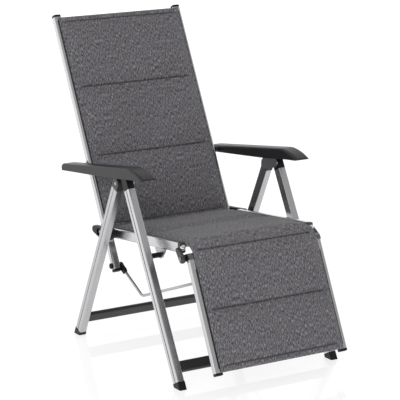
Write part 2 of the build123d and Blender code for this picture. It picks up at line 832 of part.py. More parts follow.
def quilt_outline(seams, place, low, high, extra):
    """Return the outline of a row of sewn pillows, crowned above and slightly below the sheet.

    The seams are stations along the row, place gives the point at a station and a height,
    and extra is added to the swell on both sides of the sheet.
    """
    upper = []
    lower = []
    crown_height = high + quilt_crown + extra
    shoulder_height = crown_height - quilt_shoulder_drop
    sewn = high + seam_lift
    bulge = sewn + (shoulder_height - sewn) * shoulder_height_share
    bend = quilt_shoulder * shoulder_place_share
    for first, last in zip(seams, seams[1:]):
        middle = (first + last) / 2
        rise_end = place(first + quilt_shoulder, shoulder_height)
        fall_start = place(last - quilt_shoulder, shoulder_height)
        upper.append(ThreePointArc(place(first, sewn), place(first + bend, bulge), rise_end))
        upper.append(ThreePointArc(rise_end, place(middle, crown_height), fall_start))
        upper.append(ThreePointArc(fall_start, place(last - bend, bulge), place(last, sewn)))
        belly = place(middle, low - quilt_belly - extra)
        lower.append(ThreePointArc(place(first, low), belly, place(last, low)))
    start = Line(place(seams[0], low), place(seams[0], sewn))
    end = Line(place(seams[-1], sewn), place(seams[-1], low))
    return make_face([start, *upper, end, *lower])


def pillows(seams, place, half_width, low, high):
    """Return a row of sewn pillows that also thins out towards its two sides."""
    wide = half_width + quilt_shoulder
    row = slab(quilt_outline(seams, place, low, high, 0), -wide, wide)
    start = place(seams[0], low)
    end = place(seams[-1], low)
    plane = across(start, towards(start, end), 0)
    outward = towards(start, place(seams[0], high))
    sign = 1 if outward[0] * plane.y_dir.Y + outward[1] * plane.y_dir.Z > 0 else -1

    def cross_place(station, height):
        """Return a point of the cross section by its place across the chair and its height."""
        return (station, sign * (height - low))

    section = quilt_outline((-half_width, half_width), cross_place, low, high, quilt_side_extra)
    length = hypot(end[0] - start[0], end[1] - start[1])
    tunnel = extrude(plane.offset(-quilt_shoulder) * section, length + 2 * quilt_shoulder)
    return row & tunnel


def back_place(station, height):
    """Return a side plan point of the back, by its height before the back rails' middle."""
    return move(back_hinge, back_up, station, -height)


def footrest_place(station, height):
    """Return a side plan point of the footrest, by its height before the rails' middle."""
    return move(footrest_axis, footrest_down, station, height)


def hem(centre):
    """Return the hem of the sling around a cross tube."""
    half_width = rail_inner_x - body_gap
    inner = cross_tube_radius + body_gap
    ring = disc(centre, inner + sling_thickness, -half_width, half_width)
    return ring - disc(centre, inner, -half_width, half_width)


def sheet(place, first, last, half_width, low, high):
    """Return a flat stretch of the sling."""
    corners = [place(first, low), place(last, low), place(last, high), place(first, high)]
    return slab(make_face(Polyline(*corners, close=True)), -half_width, half_width)


def back_pad():
    """Return the padded sling of the back, over the rails and hemmed round the top tube."""
    low = rail_depth / 2 + body_gap
    high = low + sling_thickness
    pad = pillows(back_seams, back_place, back_quilt_half_width, low, high)
    pad += sheet(back_place, back_pad_start, back_pad_end, back_pad_half_width, low, high)
    pad += hem(back_top_tube_at)
    inner = cross_tube_radius + body_gap
    return pad - disc(back_top_tube_at, inner, -rail_inner_x, rail_inner_x)


def footrest_pad():
    """Return the padded sling of the footrest, between its rails and hemmed round its tube."""
    low = cross_tube_forward + cross_tube_radius + body_gap
    high = low + sling_thickness
    half_width = rail_inner_x - body_gap
    hem_station = footrest_length - footrest_tube_inset
    pad = pillows(footrest_seams, footrest_place, footrest_quilt_half_width, low, high)
    pad += sheet(footrest_place, footrest_seams[0], hem_station, half_width, low, high)
    pad += hem(footrest_tube_at)
    inner = cross_tube_radius + body_gap
    return pad - disc(footrest_tube_at, inner, -rail_inner_x, rail_inner_x)


def seat_sheet(half_width, low, high):
    """Return the bowed sheet of the seat between its rails."""
    first = seat_seams[0]
    middle = seat_seams[1]
    last = seat_seams[-1]
    edges = [
        ThreePointArc(on_bow(first, low), on_bow(middle, low), on_bow(last, low)),
        Line(on_bow(last, low), on_bow(last, high)),
        ThreePointArc(on_bow(last, high), on_bow(middle, high), on_bow(first, high)),
        Line(on_bow(first, high), on_bow(first, low)),
    ]
    return slab(make_face(edges), -half_width, half_width)


def seat_nose(half_width, low, high):
    """Return the front roll of the seat's sling, bent round the footrest hinge."""
    low_start = on_bow(seat_seams[0], low)
    high_start = on_bow(seat_seams[0], high)
    inner = hypot(low_start[0] - footrest_hinge[0], low_start[1] - footrest_hinge[1]) + fit_gap
    outer = hypot(high_start[0] - footrest_hinge[0], high_start[1] - footrest_hinge[1]) - fit_gap
    start = on_bow(seat_seams[0] + 2 * sling_thickness, low)
    start_angle = degrees(atan2(start[1] - footrest_hinge[1], start[0] - footrest_hinge[0]))
    ring = Circle(outer) - Circle(inner)
    reach = 2 * outer
    wedge = Polyline(
        (0, 0),
        (reach * cos(radians(start_angle)), reach * sin(radians(start_angle))),
        (reach * cos(radians(nose_band_angle)), reach * sin(radians(nose_band_angle))),
        close=True,
    )
    band = Pos(*footrest_hinge) * (ring & make_face(wedge))
    return slab(band, -half_width, half_width)


def seat_pad():
    """Return the padded sling of the seat, between its rails and rolled over its front."""
    low = seat_sheet_lift
    high = low + sling_thickness
    half_width = seat_rail_inner_x - body_gap
    pad = pillows(seat_seams, on_bow, seat_quilt_half_width, low, high)
    pad += seat_sheet(half_width, low, high)
    return pad + seat_nose(half_width, low, high)


def sided(name, shape, pieces):
    """Add a left piece and its right twin to the chair's pieces."""
    pieces[name + "_left"] = shape
    pieces[name + "_right"] = mirrored(shape)


def rear_leg_top():
    """Return the length of a rear leg from the floor to the end of its tube."""
    return apex_height / cos(radians(rear_leg_lean)) - rear_tube_gap


def chair_pieces():
    """Return all named pieces of the chair, counted from the front feet."""
    pieces = {}
    sided("front_leg", leg(front_foot, front_up, front_leg_length), pieces)
    sided("front_foot", foot_cap(front_foot, front_up), pieces)
    sided("front_head", front_head(), pieces)
    sided("apex_plate", apex_plate(), pieces)
    pieces["front_crossbar"] = crossbar(front_foot, front_up, front_bar_rise)
    pieces["apex_pins"] = both(apex_pin())
    pieces["catch_pins"] = both(catch_pin())
    pieces["seat_pivot_spacers"] = both(pivot_spacer())
    pieces["seat_pivot_bolts"] = both(pivot_bolt())

    sided("rear_leg", leg(rear_foot, rear_up, rear_leg_top()), pieces)
    sided("rear_foot", foot_cap(rear_foot, rear_up), pieces)
    sided("rear_knuckle", rear_knuckle(), pieces)
    pieces["rear_crossbar"] = crossbar(rear_foot, rear_up, rear_bar_rise)
    pieces["seat_rest_pins"] = both(rest_pin())

    sided("seat_rail", seat_rail(), pieces)
    sided("seat_rear_bracket", rear_bracket(), pieces)
    sided("seat_front_fitting", front_fitting(), pieces)
    sided("seat_pivot_plate", pivot_plate(), pieces)
    pieces["seat_front_domes"] = both(front_dome())
    pieces["seat_front_tube"] = seat_tube(seat_front_tube_share)
    pieces["seat_rear_tube"] = seat_tube(seat_rear_tube_share)
    pieces["back_hinge_pins"] = both(back_pin())
    pieces["footrest_hinge_pins"] = both(footrest_pin())
    pieces["seat_pad"] = seat_pad()

    back_top = move(back_hinge, back_up, back_rail_up)
    back_bottom = move(back_hinge, back_up, -back_rail_down)
    sided("back_rail", back_rail(), pieces)
    pieces["back_top_tube"] = hollow_cross(back_top_tube_at, rail_inner_x)
    pieces["back_low_tube"] = hollow_cross(back_low_tube_at, rail_inner_x)
    pieces["back_top_caps"] = both(rail_cap(back_top, back_up))
    bottom_cap = rail_cap(back_bottom, (-back_up[0], -back_up[1]))
    pieces["back_bottom_caps"] = both(bottom_cap - disc(rod_pivot, rod_bolt_radius, 0, leg_x))
    pieces["arm_pivot_bolts"] = both(arm_bolt())
    pieces["rod_pivot_bolts"] = both(rod_bolt())
    pieces["back_pad"] = back_pad()

    sided("armrest", armrest(), pieces)
    sided("armrest_rack", armrest_rack(), pieces)

    footrest_end = move(footrest_axis, footrest_down, footrest_length)
    sided("footrest_rail", footrest_rail(), pieces)
    sided("footrest_fitting", footrest_fitting(), pieces)
    pieces["rod_lugs"] = both(rod_lug())
    pieces["footrest_tube"] = hollow_cross(footrest_tube_at, rail_inner_x)
    pieces["footrest_caps"] = both(rail_cap(footrest_end, footrest_down))
    pieces["footrest_pad"] = footrest_pad()

    rod = push_rod()
    sided("push_rod", rod, pieces)
    sided("rod_clamp", rod_clamp(rod), pieces)
    return pieces


def main():
    """Build the chair, move it over its origin and write one file for each piece."""
    os.makedirs("parts", exist_ok=True)
    pieces = chair_pieces()
    boxes = [shape.bounding_box() for shape in pieces.values()]
    front = min(box.min.Y for box in boxes)
    rear = max(box.max.Y for box in boxes)
    shift = Pos(0, -(front + rear) / 2, 0)
    for name, shape in pieces.items():
        export_step(shift * shape, os.path.join("parts", name + ".step"))
    print(len(pieces), "pieces, front", front, "rear", rear, "moved by", shift.position.Y)


if __name__ == "__main__":
    main()
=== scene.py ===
"""Looks of a reclining garden armchair with a padded sling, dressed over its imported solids.

Sizes are millimetres in the chair's side plan, unless a name or a docstring says metres: x runs
across the chair, y from the front feet to the rear and z up from the floor.
"""
import logging
from dataclasses import dataclass, field
from enum import Enum
from functools import cache
from math import cos, exp, hypot, pi, radians, sin
from typing import Callable, Sequence

import bmesh
import bpy
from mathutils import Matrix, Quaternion, Vector


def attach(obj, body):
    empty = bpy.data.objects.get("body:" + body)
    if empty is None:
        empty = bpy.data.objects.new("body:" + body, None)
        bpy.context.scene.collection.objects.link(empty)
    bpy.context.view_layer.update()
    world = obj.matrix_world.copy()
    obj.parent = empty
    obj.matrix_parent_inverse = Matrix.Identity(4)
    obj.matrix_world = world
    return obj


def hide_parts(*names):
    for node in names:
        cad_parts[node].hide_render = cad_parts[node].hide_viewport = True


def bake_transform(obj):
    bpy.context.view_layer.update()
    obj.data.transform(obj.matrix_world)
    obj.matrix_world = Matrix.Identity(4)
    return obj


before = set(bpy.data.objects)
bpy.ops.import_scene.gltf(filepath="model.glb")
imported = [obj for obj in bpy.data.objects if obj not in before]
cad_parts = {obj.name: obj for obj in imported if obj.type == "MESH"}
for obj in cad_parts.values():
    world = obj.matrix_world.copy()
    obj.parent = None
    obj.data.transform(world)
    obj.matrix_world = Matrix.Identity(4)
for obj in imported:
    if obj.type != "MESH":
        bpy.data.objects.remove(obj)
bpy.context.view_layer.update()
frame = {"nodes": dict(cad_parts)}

LOG = logging.getLogger("garden_armchair")
MM_PER_M = 1000.0

Plan = tuple[float, float]
Colour = tuple[float, float, float]
Surface = Callable[[float, float], Plan]
Socket = bpy.types.NodeSocket
WHITE: Colour = (1.0, 1.0, 1.0)


class Body(Enum):
    """The moving bodies that pieces ride on."""

    FRONT = "front_frame"
    SEAT = "seat"
    BACK = "backrest"
    FOOTREST = "footrest"


class Slot(Enum):
    """The record's material slots that new pieces take their finish from."""

    FABRIC = "fabric_grey"
    BLACK = "plastic_black"


class Mark(Enum):
    """Named places along the sling, from the footrest's hem to the top hem."""

    LOWER_TURN = "lower_turn"
    LOWER_SEAM = "lower_seam"
    SHIN_SEAM = "shin_seam"
    NOSE_SEAM = "nose_seam"
    SEAT_FRONT = "seat_front"
    SEAT_SEAM = "seat_seam"
    REAR_SEAM = "rear_seam"
    LUMBAR_SEAM = "lumbar_seam"
    WAIST_SEAM = "waist_seam"
    SHOULDER_SEAM = "shoulder_seam"
    UPPER_SEAM = "upper_seam"
    UPPER_TURN = "upper_turn"


def placed(name: str, data: bpy.types.ID) -> bpy.types.Object:
    """Make an object of some data and put it in the scene.

    Args:
        name: The object's name.
        data: Its mesh, camera or light.

    Returns:
        The object.
    """
    obj = bpy.data.objects.new(name, data)
    bpy.context.scene.collection.objects.link(obj)
    return obj


def plain_mesh(name: str, points: Sequence, faces: Sequence = (), edges: Sequence = ()) -> bpy.types.Mesh:
    """Make a mesh.

    Args:
        name: The mesh's name.
        points: Its points, in metres.
        faces: The faces that join them.
        edges: The edges that join them.

    Returns:
        The mesh.
    """
    mesh = bpy.data.meshes.new(name)
    mesh.from_pydata(points, edges, faces)
    return mesh


def smooth(t: float) -> float:
    """Return a share eased at both ends."""
    t = min(max(t, 0.0), 1.0)
    return t * t * (3 - 2 * t)


# Side plan and the sling's line


@dataclass(frozen=True)
class SidePlan:
    """Places and directions of the side plan that the sling, its trim and the metal's grain follow."""

    shift: float = -404.46
    front_leg_lean: float = 28.65
    rear_leg_lean: float = -25.49
    seat_lean: float = 96.4
    back_lean: float = 27.03
    footrest_lean: float = 25.7
    front_leg_foot: Plan = (0.0, 0.0)
    back_hinge: Plan = (590.0, 397.0)
    footrest_axis: Plan = (28.53, 434.89)
    seat_front: Plan = (80.0, 456.0)
    seat_middle: Plan = (317.0, 430.5)
    seat_rear: Plan = (512.0, 407.5)

    def metres(self, x: float, point: Plan) -> Vector:
        """Turn a place across the chair and a side plan point into the frame's metres."""
        return Vector((x, point[0] + self.shift, point[1])) / MM_PER_M

    @staticmethod
    def over_rail(origin: Plan, lean: float, station: float, height: float) -> Plan:
        """Return a point by its way up a leaning rail and its height in front of it.

        Args:
            origin: Point of the rail that stations start from.
            lean: The rail's lean from upright, in degrees.
            station: Way up the rail.
            height: Distance in front of the rail's middle.

        Returns:
            The side plan point.
        """
        s, c = sin(radians(lean)), cos(radians(lean))
        return (origin[0] + s * station - c * height, origin[1] + c * station + s * height)

    def on_front_leg(self, station: float, height: float) -> Plan:
        """Return a point of the front legs by its way up and its height in front of them."""
        return self.over_rail(self.front_leg_foot, self.front_leg_lean, station, height)

    def on_back(self, station: float, height: float) -> Plan:
        """Return a point of the back by its way up from the hinge and its height in front."""
        return self.over_rail(self.back_hinge, self.back_lean, station, height)

    def on_footrest(self, station: float, height: float) -> Plan:
        """Return a point of the footrest by its way down the rails and its height in front."""
        return self.over_rail(self.footrest_axis, self.footrest_lean, -station, height)

    def on_seat(self, y: float, lift: float) -> Plan:
        """Return a point over the seat rails, whose bow is a circle through three places.

        Args:
            y: Place along the chair.
            lift: Distance above the seat rails' middle.

        Returns:
            The side plan point.
        """
        (ay, az), (by, bz), (cy, cz) = self.seat_front, self.seat_middle, self.seat_rear
        a, b, c = ay * ay + az * az, by * by + bz * bz, cy * cy + cz * cz
        d = 2 * (ay * (bz - cz) + by * (cz - az) + cy * (az - bz))
        oy = (a * (bz - cz) + b * (cz - az) + c * (az - bz)) / d
        oz = (a * (cy - by) + b * (ay - cy) + c * (by - ay)) / d
        radius = hypot(ay - oy, az - oz)
        side = 1.0 if oz < bz else -1.0
        reach = (radius * radius - (y - oy) ** 2) ** 0.5
        up = ((y - oy) / radius * side, reach / radius)
        return (y + up[0] * lift, oz + side * reach + up[1] * lift)


@dataclass(frozen=True)
class SlingPlaces:
    """Where the sling turns, bends and is sewn.

    Stations run down the footrest rails, along the chair over the seat and up the back rails, and
    heights stand over the rails' middle.
    """

    footrest_height: float = 14.6
    seat_height: float = 10.0
    back_height: float = 14.3
    tube_height: float = 3.0
    wrap_angle: float = 150.0
    lower_wrap: float = 11.6
    upper_wrap: float = 11.3
    lower_tube: float = 378.0
    lower_seam: float = 371.0
    shin_seam: float = 186.0
    shin_end: float = 24.0
    nose_pull: float = 30.0
    nose_end: float = 62.0
    nose_seam_back: float = 42.0
    seat_seam: float = 310.0
    rear_seam: float = 556.0
    crease_pull: float = 570.0
    crease_sink: float = 3.0
    back_pull: float = 4.0
    lumbar_seam: float = 17.0
    waist_seam: float = 268.0
    shoulder_seam: float = 524.0
    upper_seam: float = 770.0
    upper_tube: float = 778.0


@dataclass
class SlingLine:
    """The middle surface of the whole sling as one line in the side plan."""

    plan: SidePlan
    places: SlingPlaces = field(default_factory=SlingPlaces)
    line_step: float = 8.0
    seam_stub: float = 1.0
    turn_steps: int = 16
    bend_steps: int = 24
    least_step: float = 1e-6
    points: list[Plan] = field(default_factory=list)
    lengths: list[float] = field(default_factory=list)
    marks: dict[Mark, float] = field(default_factory=dict)

    def __post_init__(self) -> None:
        """Trace the line from the footrest's hem over the seat to the top hem."""
        p, shin, seat, back = self.places, self.plan.on_footrest, self.plan.on_seat, self.plan.on_back
        self._turn(shin, p.lower_tube, p.lower_wrap, p.wrap_angle, 0.0)
        self._mark(Mark.LOWER_TURN)
        self._line(shin, p.lower_tube, p.lower_seam, p.footrest_height, Mark.LOWER_SEAM)
        self._line(shin, p.lower_seam, p.shin_seam, p.footrest_height, Mark.SHIN_SEAM)
        self._line(shin, p.shin_seam, p.shin_end, p.footrest_height)
        self._bend(shin(0.0, p.footrest_height), seat(p.nose_pull, p.seat_height),
                   seat(p.nose_end, p.seat_height), Mark.SEAT_FRONT)
        self._line(seat, p.nose_end, p.seat_seam, p.seat_height, Mark.SEAT_SEAM)
        self._line(seat, p.seat_seam, p.rear_seam, p.seat_height, Mark.REAR_SEAM)
        self._bend(seat(p.crease_pull, p.seat_height - p.crease_sink), back(p.back_pull, p.back_height),
                   back(p.lumbar_seam, p.back_height), Mark.LUMBAR_SEAM)
        for end, mark in ((p.waist_seam, Mark.WAIST_SEAM), (p.shoulder_seam, Mark.SHOULDER_SEAM),
                          (p.upper_seam, Mark.UPPER_SEAM), (p.upper_tube, Mark.UPPER_TURN)):
            self._line(back, end - self.seam_stub, end, p.back_height, mark)
        self._turn(back, p.upper_tube, p.upper_wrap, 0.0, p.wrap_angle)
        self.marks[Mark.NOSE_SEAM] = self.marks[Mark.SEAT_FRONT] - p.nose_seam_back

    @property
    def total(self) -> float:
        """Return the sling's whole length."""
        return self.lengths[-1]

    def _add(self, point: Plan) -> None:
        """Add a point to the line, with its length from the start.

        Args:
            point: The side plan point.
        """
        step = 0.0
        if self.points:
            step = hypot(point[0] - self.points[-1][0], point[1] - self.points[-1][1])
            if step < self.least_step:
                return
            step += self.lengths[-1]
        self.points.append(point)
        self.lengths.append(step)

    def _mark(self, mark: Mark | None) -> None:
        """Name the place that the line has come to, if it has a name."""
        if mark:
            self.marks[mark] = self.lengths[-1]

    def _line(self, surface: Surface, start: float, end: float, height: float,
              mark: Mark | None = None) -> None:
        """Follow a surface of the chair at one height.

        Args:
            surface: Gives the side plan point at a station and a height.
            start: First station.
            end: Last station.
            height: Height over the rails' middle.
            mark: Name of the last station.
        """
        count = max(2, int(abs(end - start) / self.line_step))
        for i in range(count + 1):
            self._add(surface(start + (end - start) * i / count, height))
        self._mark(mark)

    def _turn(self, surface: Surface, station: float, radius: float, first: float, last: float) -> None:
        """Wrap the line round a cross tube.

        Args:
            surface: Gives the side plan point at a station and a height.
            station: Station of the tube's middle.
            radius: Radius of the wrapped sheet.
            first: Angle from the front where the turn starts, towards the end of the rails.
            last: Angle where it stops.
        """
        height = self.places.tube_height
        for i in range(self.turn_steps + 1):
            angle = radians(first + (last - first) * i / self.turn_steps)
            self._add(surface(station + radius * sin(angle), height + radius * cos(angle)))

    def _bend(self, first: Plan, second: Plan, end: Plan, mark: Mark) -> None:
        """Follow a smooth bend from the line's end to a point.

        Args:
            first: First control point.
            second: Second control point.
            end: Where the bend ends.
            mark: Name of its end.
        """
        group = (self.points[-1], first, second, end)
        for i in range(1, self.bend_steps + 1):
            t = i / self.bend_steps
            k = ((1 - t) ** 3, 3 * t * (1 - t) ** 2, 3 * t * t * (1 - t), t**3)
            self._add(tuple(sum(a * p[axis] for a, p in zip(k, group)) for axis in (0, 1)))
        self._mark(mark)

    def at(self, v: float) -> Plan:
        """Return the point at a length from the line's start.

        Args:
            v: Length from the line's start.

        Returns:
            The side plan point.
        """
        v = min(max(v, 0.0), self.total)
        low, high = 0, len(self.points) - 1
        while high - low > 1:
            middle = (low + high) // 2
            low, high = (middle, high) if self.lengths[middle] <= v else (low, middle)
        share = (v - self.lengths[low]) / (self.lengths[high] - self.lengths[low])
        a, b = self.points[low], self.points[high]
        return (a[0] + (b[0] - a[0]) * share, a[1] + (b[1] - a[1]) * share)

    def outward(self, v: float, reach: float = 3.0) -> Plan:
        """Return the direction that the sling's upper side faces at a length.

        Args:
            v: Length from the line's start.
            reach: Half of the stretch that the direction is averaged over.

        Returns:
            The unit direction in the side plan.
        """
        a, b = self.at(v - reach), self.at(v + reach)
        dy, dz = b[0] - a[0], b[1] - a[1]
        size = hypot(dy, dz)
        return (-dz / size, dy / size)


@dataclass(frozen=True)
class Cut:
    """How the sling is cut across the chair, as half widths."""

    lower: float = 243.4
    back: float = 248.8
    between_rails: float = 232.2
    flap: float = 12.3

    def half(self, line: SlingLine, v: float) -> float:
        """Return the sling's half width at a length along its line."""
        seat_end, back_start = line.marks[Mark.REAR_SEAM], line.marks[Mark.LUMBAR_SEAM]
        return self.lower + (self.back - self.lower) * smooth((v - seat_end) / (back_start - seat_end))

    def beyond(self, line: SlingLine, v: float) -> float:
        """Return how far a length lies past the cloth's flat part at either end."""
        return max(line.marks[Mark.LOWER_TURN] - v, v - line.marks[Mark.UPPER_TURN], 0.0)


# Node trees, shader groups and finishes


class Nodes:
    """A node tree that nodes are added to."""

    def __init__(self, tree: bpy.types.NodeTree) -> None:
        """Take the tree to work on."""
        self.tree = tree

    def node(self, kind: str, inputs: dict[str | int, object] | None = None,
             **settings: object) -> bpy.types.Node:
        """Add a node and fill its inputs.

        Args:
            kind: The node's type name.
            inputs: Values or sockets by input name or index.
            settings: Attributes of the node.

        Returns:
            The new node.
        """
        node = self.tree.nodes.new(kind)
        for key, value in settings.items():
            setattr(node, key, value)
        for key, value in (inputs or {}).items():
            if isinstance(value, bpy.types.NodeSocket):
                self.tree.links.new(value, node.inputs[key])
            else:
                node.inputs[key].default_value = value
        return node

    def maths(self, operation: str, *values: object) -> Socket:
        """Add a maths node on numbers and return its result."""
        return self.node("ShaderNodeMath", dict(enumerate(values)), operation=operation).outputs[0]

    def vector_maths(self, operation: str, *values: object) -> Socket:
        """Add a maths node on vectors and return its result."""
        return self.node("ShaderNodeVectorMath", dict(enumerate(values)), operation=operation).outputs[0]

    def vector(self, x: object, y: object, z: object = 0.0) -> Socket:
        """Put three values together as a vector."""
        return self.node("ShaderNodeCombineXYZ", {"X": x, "Y": y, "Z": z}).outputs[0]

    def noise(self, place: Socket, scale: float, detail: float, roughness: float = 0.5) -> Socket:
        """Add a noise texture and return its value.

        Args:
            place: Coordinates that the noise lies on.
            scale: Its scale.
            detail: Its number of finer layers.
            roughness: How strong the finer layers are.

        Returns:
            The value's socket.
        """
        inputs = {"Vector": place, "Scale": scale, "Detail": detail, "Roughness": roughness}
        return self.node("ShaderNodeTexNoise", inputs).outputs["Fac"]


class NodeGroup(Nodes):
    """A node group with named inputs and outputs."""

    def __init__(self, name: str, tree_kind: str, inputs: dict[str, float | str],
                 outputs: dict[str, str]) -> None:
        """Start a group.

        Args:
            name: The group's name.
            tree_kind: Type name of its tree.
            inputs: Input names with a starting value, or with a socket type in words.
            outputs: Output names with a socket type in words.
        """
        super().__init__(bpy.data.node_groups.new(name, tree_kind))
        face = self.tree.interface
        self.keys: dict[str, str] = {}
        for key, value in inputs.items():
            kind = value if isinstance(value, str) else "Int" if isinstance(value, int) else "Float"
            socket = face.new_socket(key, in_out="INPUT", socket_type="NodeSocket" + kind)
            if not isinstance(value, str):
                socket.default_value = value
            self.keys[key] = socket.identifier
        for key, kind in outputs.items():
            face.new_socket(key, in_out="OUTPUT", socket_type="NodeSocket" + kind)
        self.source = self.tree.nodes.new("NodeGroupInput").outputs
        self.sink = self.tree.nodes.new("NodeGroupOutput").inputs

    def put(self, key: str, value: Socket) -> None:
        """Send a value to one of the group's outputs."""
        self.tree.links.new(value, self.sink[key])


@cache
def streak_group() -> bpy.types.NodeTree:
    """Make the group of fine streaks along one direction, for drawn metal and moulded grain.

    Returns:
        The group's tree.
    """
    g = NodeGroup("streaks", "ShaderNodeTree", {"Vector": "Vector", "Across": 900.0, "Along": 12.0},
                  {"Streak": "Float", "Cloud": "Float"})
    place, across = g.source["Vector"], g.source["Across"]
    drawn_out = g.vector_maths("MULTIPLY", place, g.vector(across, across, g.source["Along"]))
    g.put("Streak", g.noise(drawn_out, scale=1.0, detail=2.0, roughness=0.6))
    g.put("Cloud", g.noise(place, scale=9.0, detail=3.0))
    return g.tree


@cache
def weave_group() -> bpy.types.NodeTree:
    """Make the group of a heathered weave that follows the cloth's own coordinates.

    Returns:
        The group's tree.
    """
    inputs = {"Vector": "Vector", "Thread": 1300.0, "Slub Across": 470.0, "Slub Along": 84.0}
    g = NodeGroup("heathered_weave", "ShaderNodeTree", inputs,
                  {"Heather": "Float", "Thread Height": "Float", "Drift": "Float"})
    place = g.source["Vector"]
    slubs = []
    for scale, seed in ((1.0, 0.0), (2.3, 7.3)):
        yarn = g.vector(g.source["Slub Across"], g.source["Slub Along"])
        shifted = g.vector_maths("MULTIPLY_ADD", place, yarn, (seed, seed, seed))
        slubs.append(g.noise(shifted, scale, detail=1.5, roughness=0.55))
    coarse_share, fine_share = 0.6, 0.4
    fine = g.maths("MULTIPLY", slubs[1], fine_share)
    g.put("Heather", g.maths("MULTIPLY_ADD", slubs[0], coarse_share, fine))
    parts = g.node("ShaderNodeSeparateXYZ", {"Vector": place}).outputs
    turns = [g.maths("MULTIPLY", parts[axis], g.source["Thread"]) for axis in ("X", "Y")]
    waves = [g.maths("SINE", g.maths("MULTIPLY", turn, 2 * pi)) for turn in turns]
    g.put("Thread Height", g.maths("MULTIPLY_ADD", g.maths("MULTIPLY", *waves), 0.5, 0.5))
    g.put("Drift", g.noise(place, scale=6.0, detail=2.0))
    return g.tree


class Shader(Nodes):
    """A material under construction, with its surface shader at hand."""

    noise_low, noise_high = 0.3, 0.7
    mix_a, mix_b, mix_result = 6, 7, 2

    def __init__(self, name: str, roughness: float, metallic: float = 0.0, **fixed: object) -> None:
        """Start a material.

        Args:
            name: The material's name.
            roughness: Roughness all over the surface.
            metallic: Metallic value all over the surface.
            fixed: Other values of the surface shader, with _ for a space.
        """
        self.material = bpy.data.materials.new(name)
        self.material.use_nodes = True
        super().__init__(self.material.node_tree)
        self.roughness = roughness
        self.surface = next(n for n in self.tree.nodes if n.type == "BSDF_PRINCIPLED")
        for key, value in {"Roughness": roughness, "Metallic": metallic, **fixed}.items():
            self.surface.inputs[key.replace("_", " ")].default_value = value

    def place(self) -> Socket:
        """Return the coordinates of the object that wears the material."""
        return self.node("ShaderNodeTexCoord").outputs["Object"]

    def group(self, tree: bpy.types.NodeTree, inputs: dict[str, object]) -> dict[str, Socket]:
        """Place a node group in the material and return its outputs by name."""
        return dict(self.node("ShaderNodeGroup", inputs, node_tree=tree).outputs.items())

    def ramp(self, value: Socket, stops: list[tuple[float, Colour]]) -> Socket:
        """Turn a value into a colour.

        Args:
            value: The value, from 0 to 1.
            stops: Places and colours along the ramp.

        Returns:
            The colour's socket.
        """
        node = self.node("ShaderNodeValToRGB", {0: value})
        marks = node.color_ramp.elements
        while len(marks) < len(stops):
            marks.new(0.5)
        for mark, (place, colour) in zip(marks, stops):
            mark.position = place
            mark.color = (*colour, 1.0)
        return node.outputs["Color"]

    def tone(self, noise: Socket, low: Colour, high: Colour) -> Socket:
        """Turn a noise into the colours between two."""
        return self.ramp(noise, [(self.noise_low, low), (self.noise_high, high)])

    def darkened(self, colour: Socket, shade: Socket) -> Socket:
        """Multiply a colour by a shade.

        Args:
            colour: The colour.
            shade: The shade, white where the colour stays.

        Returns:
            The new colour's socket.
        """
        inputs = {"Factor": 1.0, self.mix_a: colour, self.mix_b: shade}
        return self.node("ShaderNodeMix", inputs, data_type="RGBA",
                         blend_type="MULTIPLY").outputs[self.mix_result]

    def gloss(self, noise: Socket, smoother: float, rougher: float) -> None:
        """Let a noise move the roughness about its own value.

        Args:
            noise: The noise.
            smoother: How far the roughness falls below its value.
            rougher: How far it rises above it.
        """
        inputs = {"Value": noise, "From Min": self.noise_low, "From Max": self.noise_high,
                  "To Min": self.roughness - smoother, "To Max": self.roughness + rougher}
        self.feed("Roughness", self.node("ShaderNodeMapRange", inputs).outputs["Result"])

    def feed(self, key: str, socket: Socket) -> None:
        """Link a socket to the surface shader."""
        self.tree.links.new(socket, self.surface.inputs[key])

    def bump(self, height: Socket, distance: float, strength: float) -> None:
        """Give the surface fine relief.

        Args:
            height: The relief, from 0 to 1.
            distance: Its depth in metres.
            strength: Its strength.
        """
        inputs = {"Height": height, "Distance": distance, "Strength": strength}
        self.feed("Normal", self.node("ShaderNodeBump", inputs).outputs["Normal"])


@dataclass(frozen=True)
class DrawnMetal:
    """Satin anodised or plain drawn metal, with a fine grain along its length."""

    name: str
    light: Colour = (0.70, 0.70, 0.714)
    dark: Colour = (0.56, 0.56, 0.572)
    roughness: float = 0.24
    lean: float = 0.0
    across: float = 1100.0
    along: float = 14.0
    smoother: float = 0.04
    rougher: float = 0.05
    relief: float = 0.00003
    relief_strength: float = 0.5

    def material(self) -> bpy.types.Material:
        """Build the finish, with its grain along the lean.

        Returns:
            The material.
        """
        s = Shader(self.name, self.roughness, 1.0)
        rotation = (radians(self.lean), 0.0, 0.0)
        turned = s.node("ShaderNodeMapping", {"Vector": s.place(), "Rotation": rotation}).outputs[0]
        grain = s.group(streak_group(), {"Vector": turned, "Across": self.across, "Along": self.along})
        s.feed("Base Color", s.tone(grain["Streak"], self.dark, self.light))
        s.gloss(grain["Cloud"], self.smoother, self.rougher)
        s.bump(grain["Streak"], self.relief, self.relief_strength)
        return s.material


@dataclass(frozen=True)
class Moulding:
    """Moulded plastic or satin paint with a fine even grain."""

    name: str
    colour: Colour
    roughness: float
    spread: float = 0.25
    grain: float = 1400.0
    relief: float = 0.00006
    relief_strength: float = 0.6
    specular: float = 0.5
    smoother: float = 0.05
    rougher: float = 0.07

    def material(self) -> bpy.types.Material:
        """Build the finish.

        Returns:
            The material.
        """
        s = Shader(self.name, self.roughness, Specular_IOR_Level=self.specular)
        grain = s.group(streak_group(), {"Vector": s.place(), "Across": self.grain, "Along": self.grain})
        low, high = (tuple(c * share for c in self.colour) for share in (1 - self.spread, 1 + self.spread))
        s.feed("Base Color", s.tone(grain["Cloud"], low, high))
        s.gloss(grain["Streak"], self.smoother, self.rougher)
        s.bump(grain["Streak"], self.relief, self.relief_strength)
        return s.material


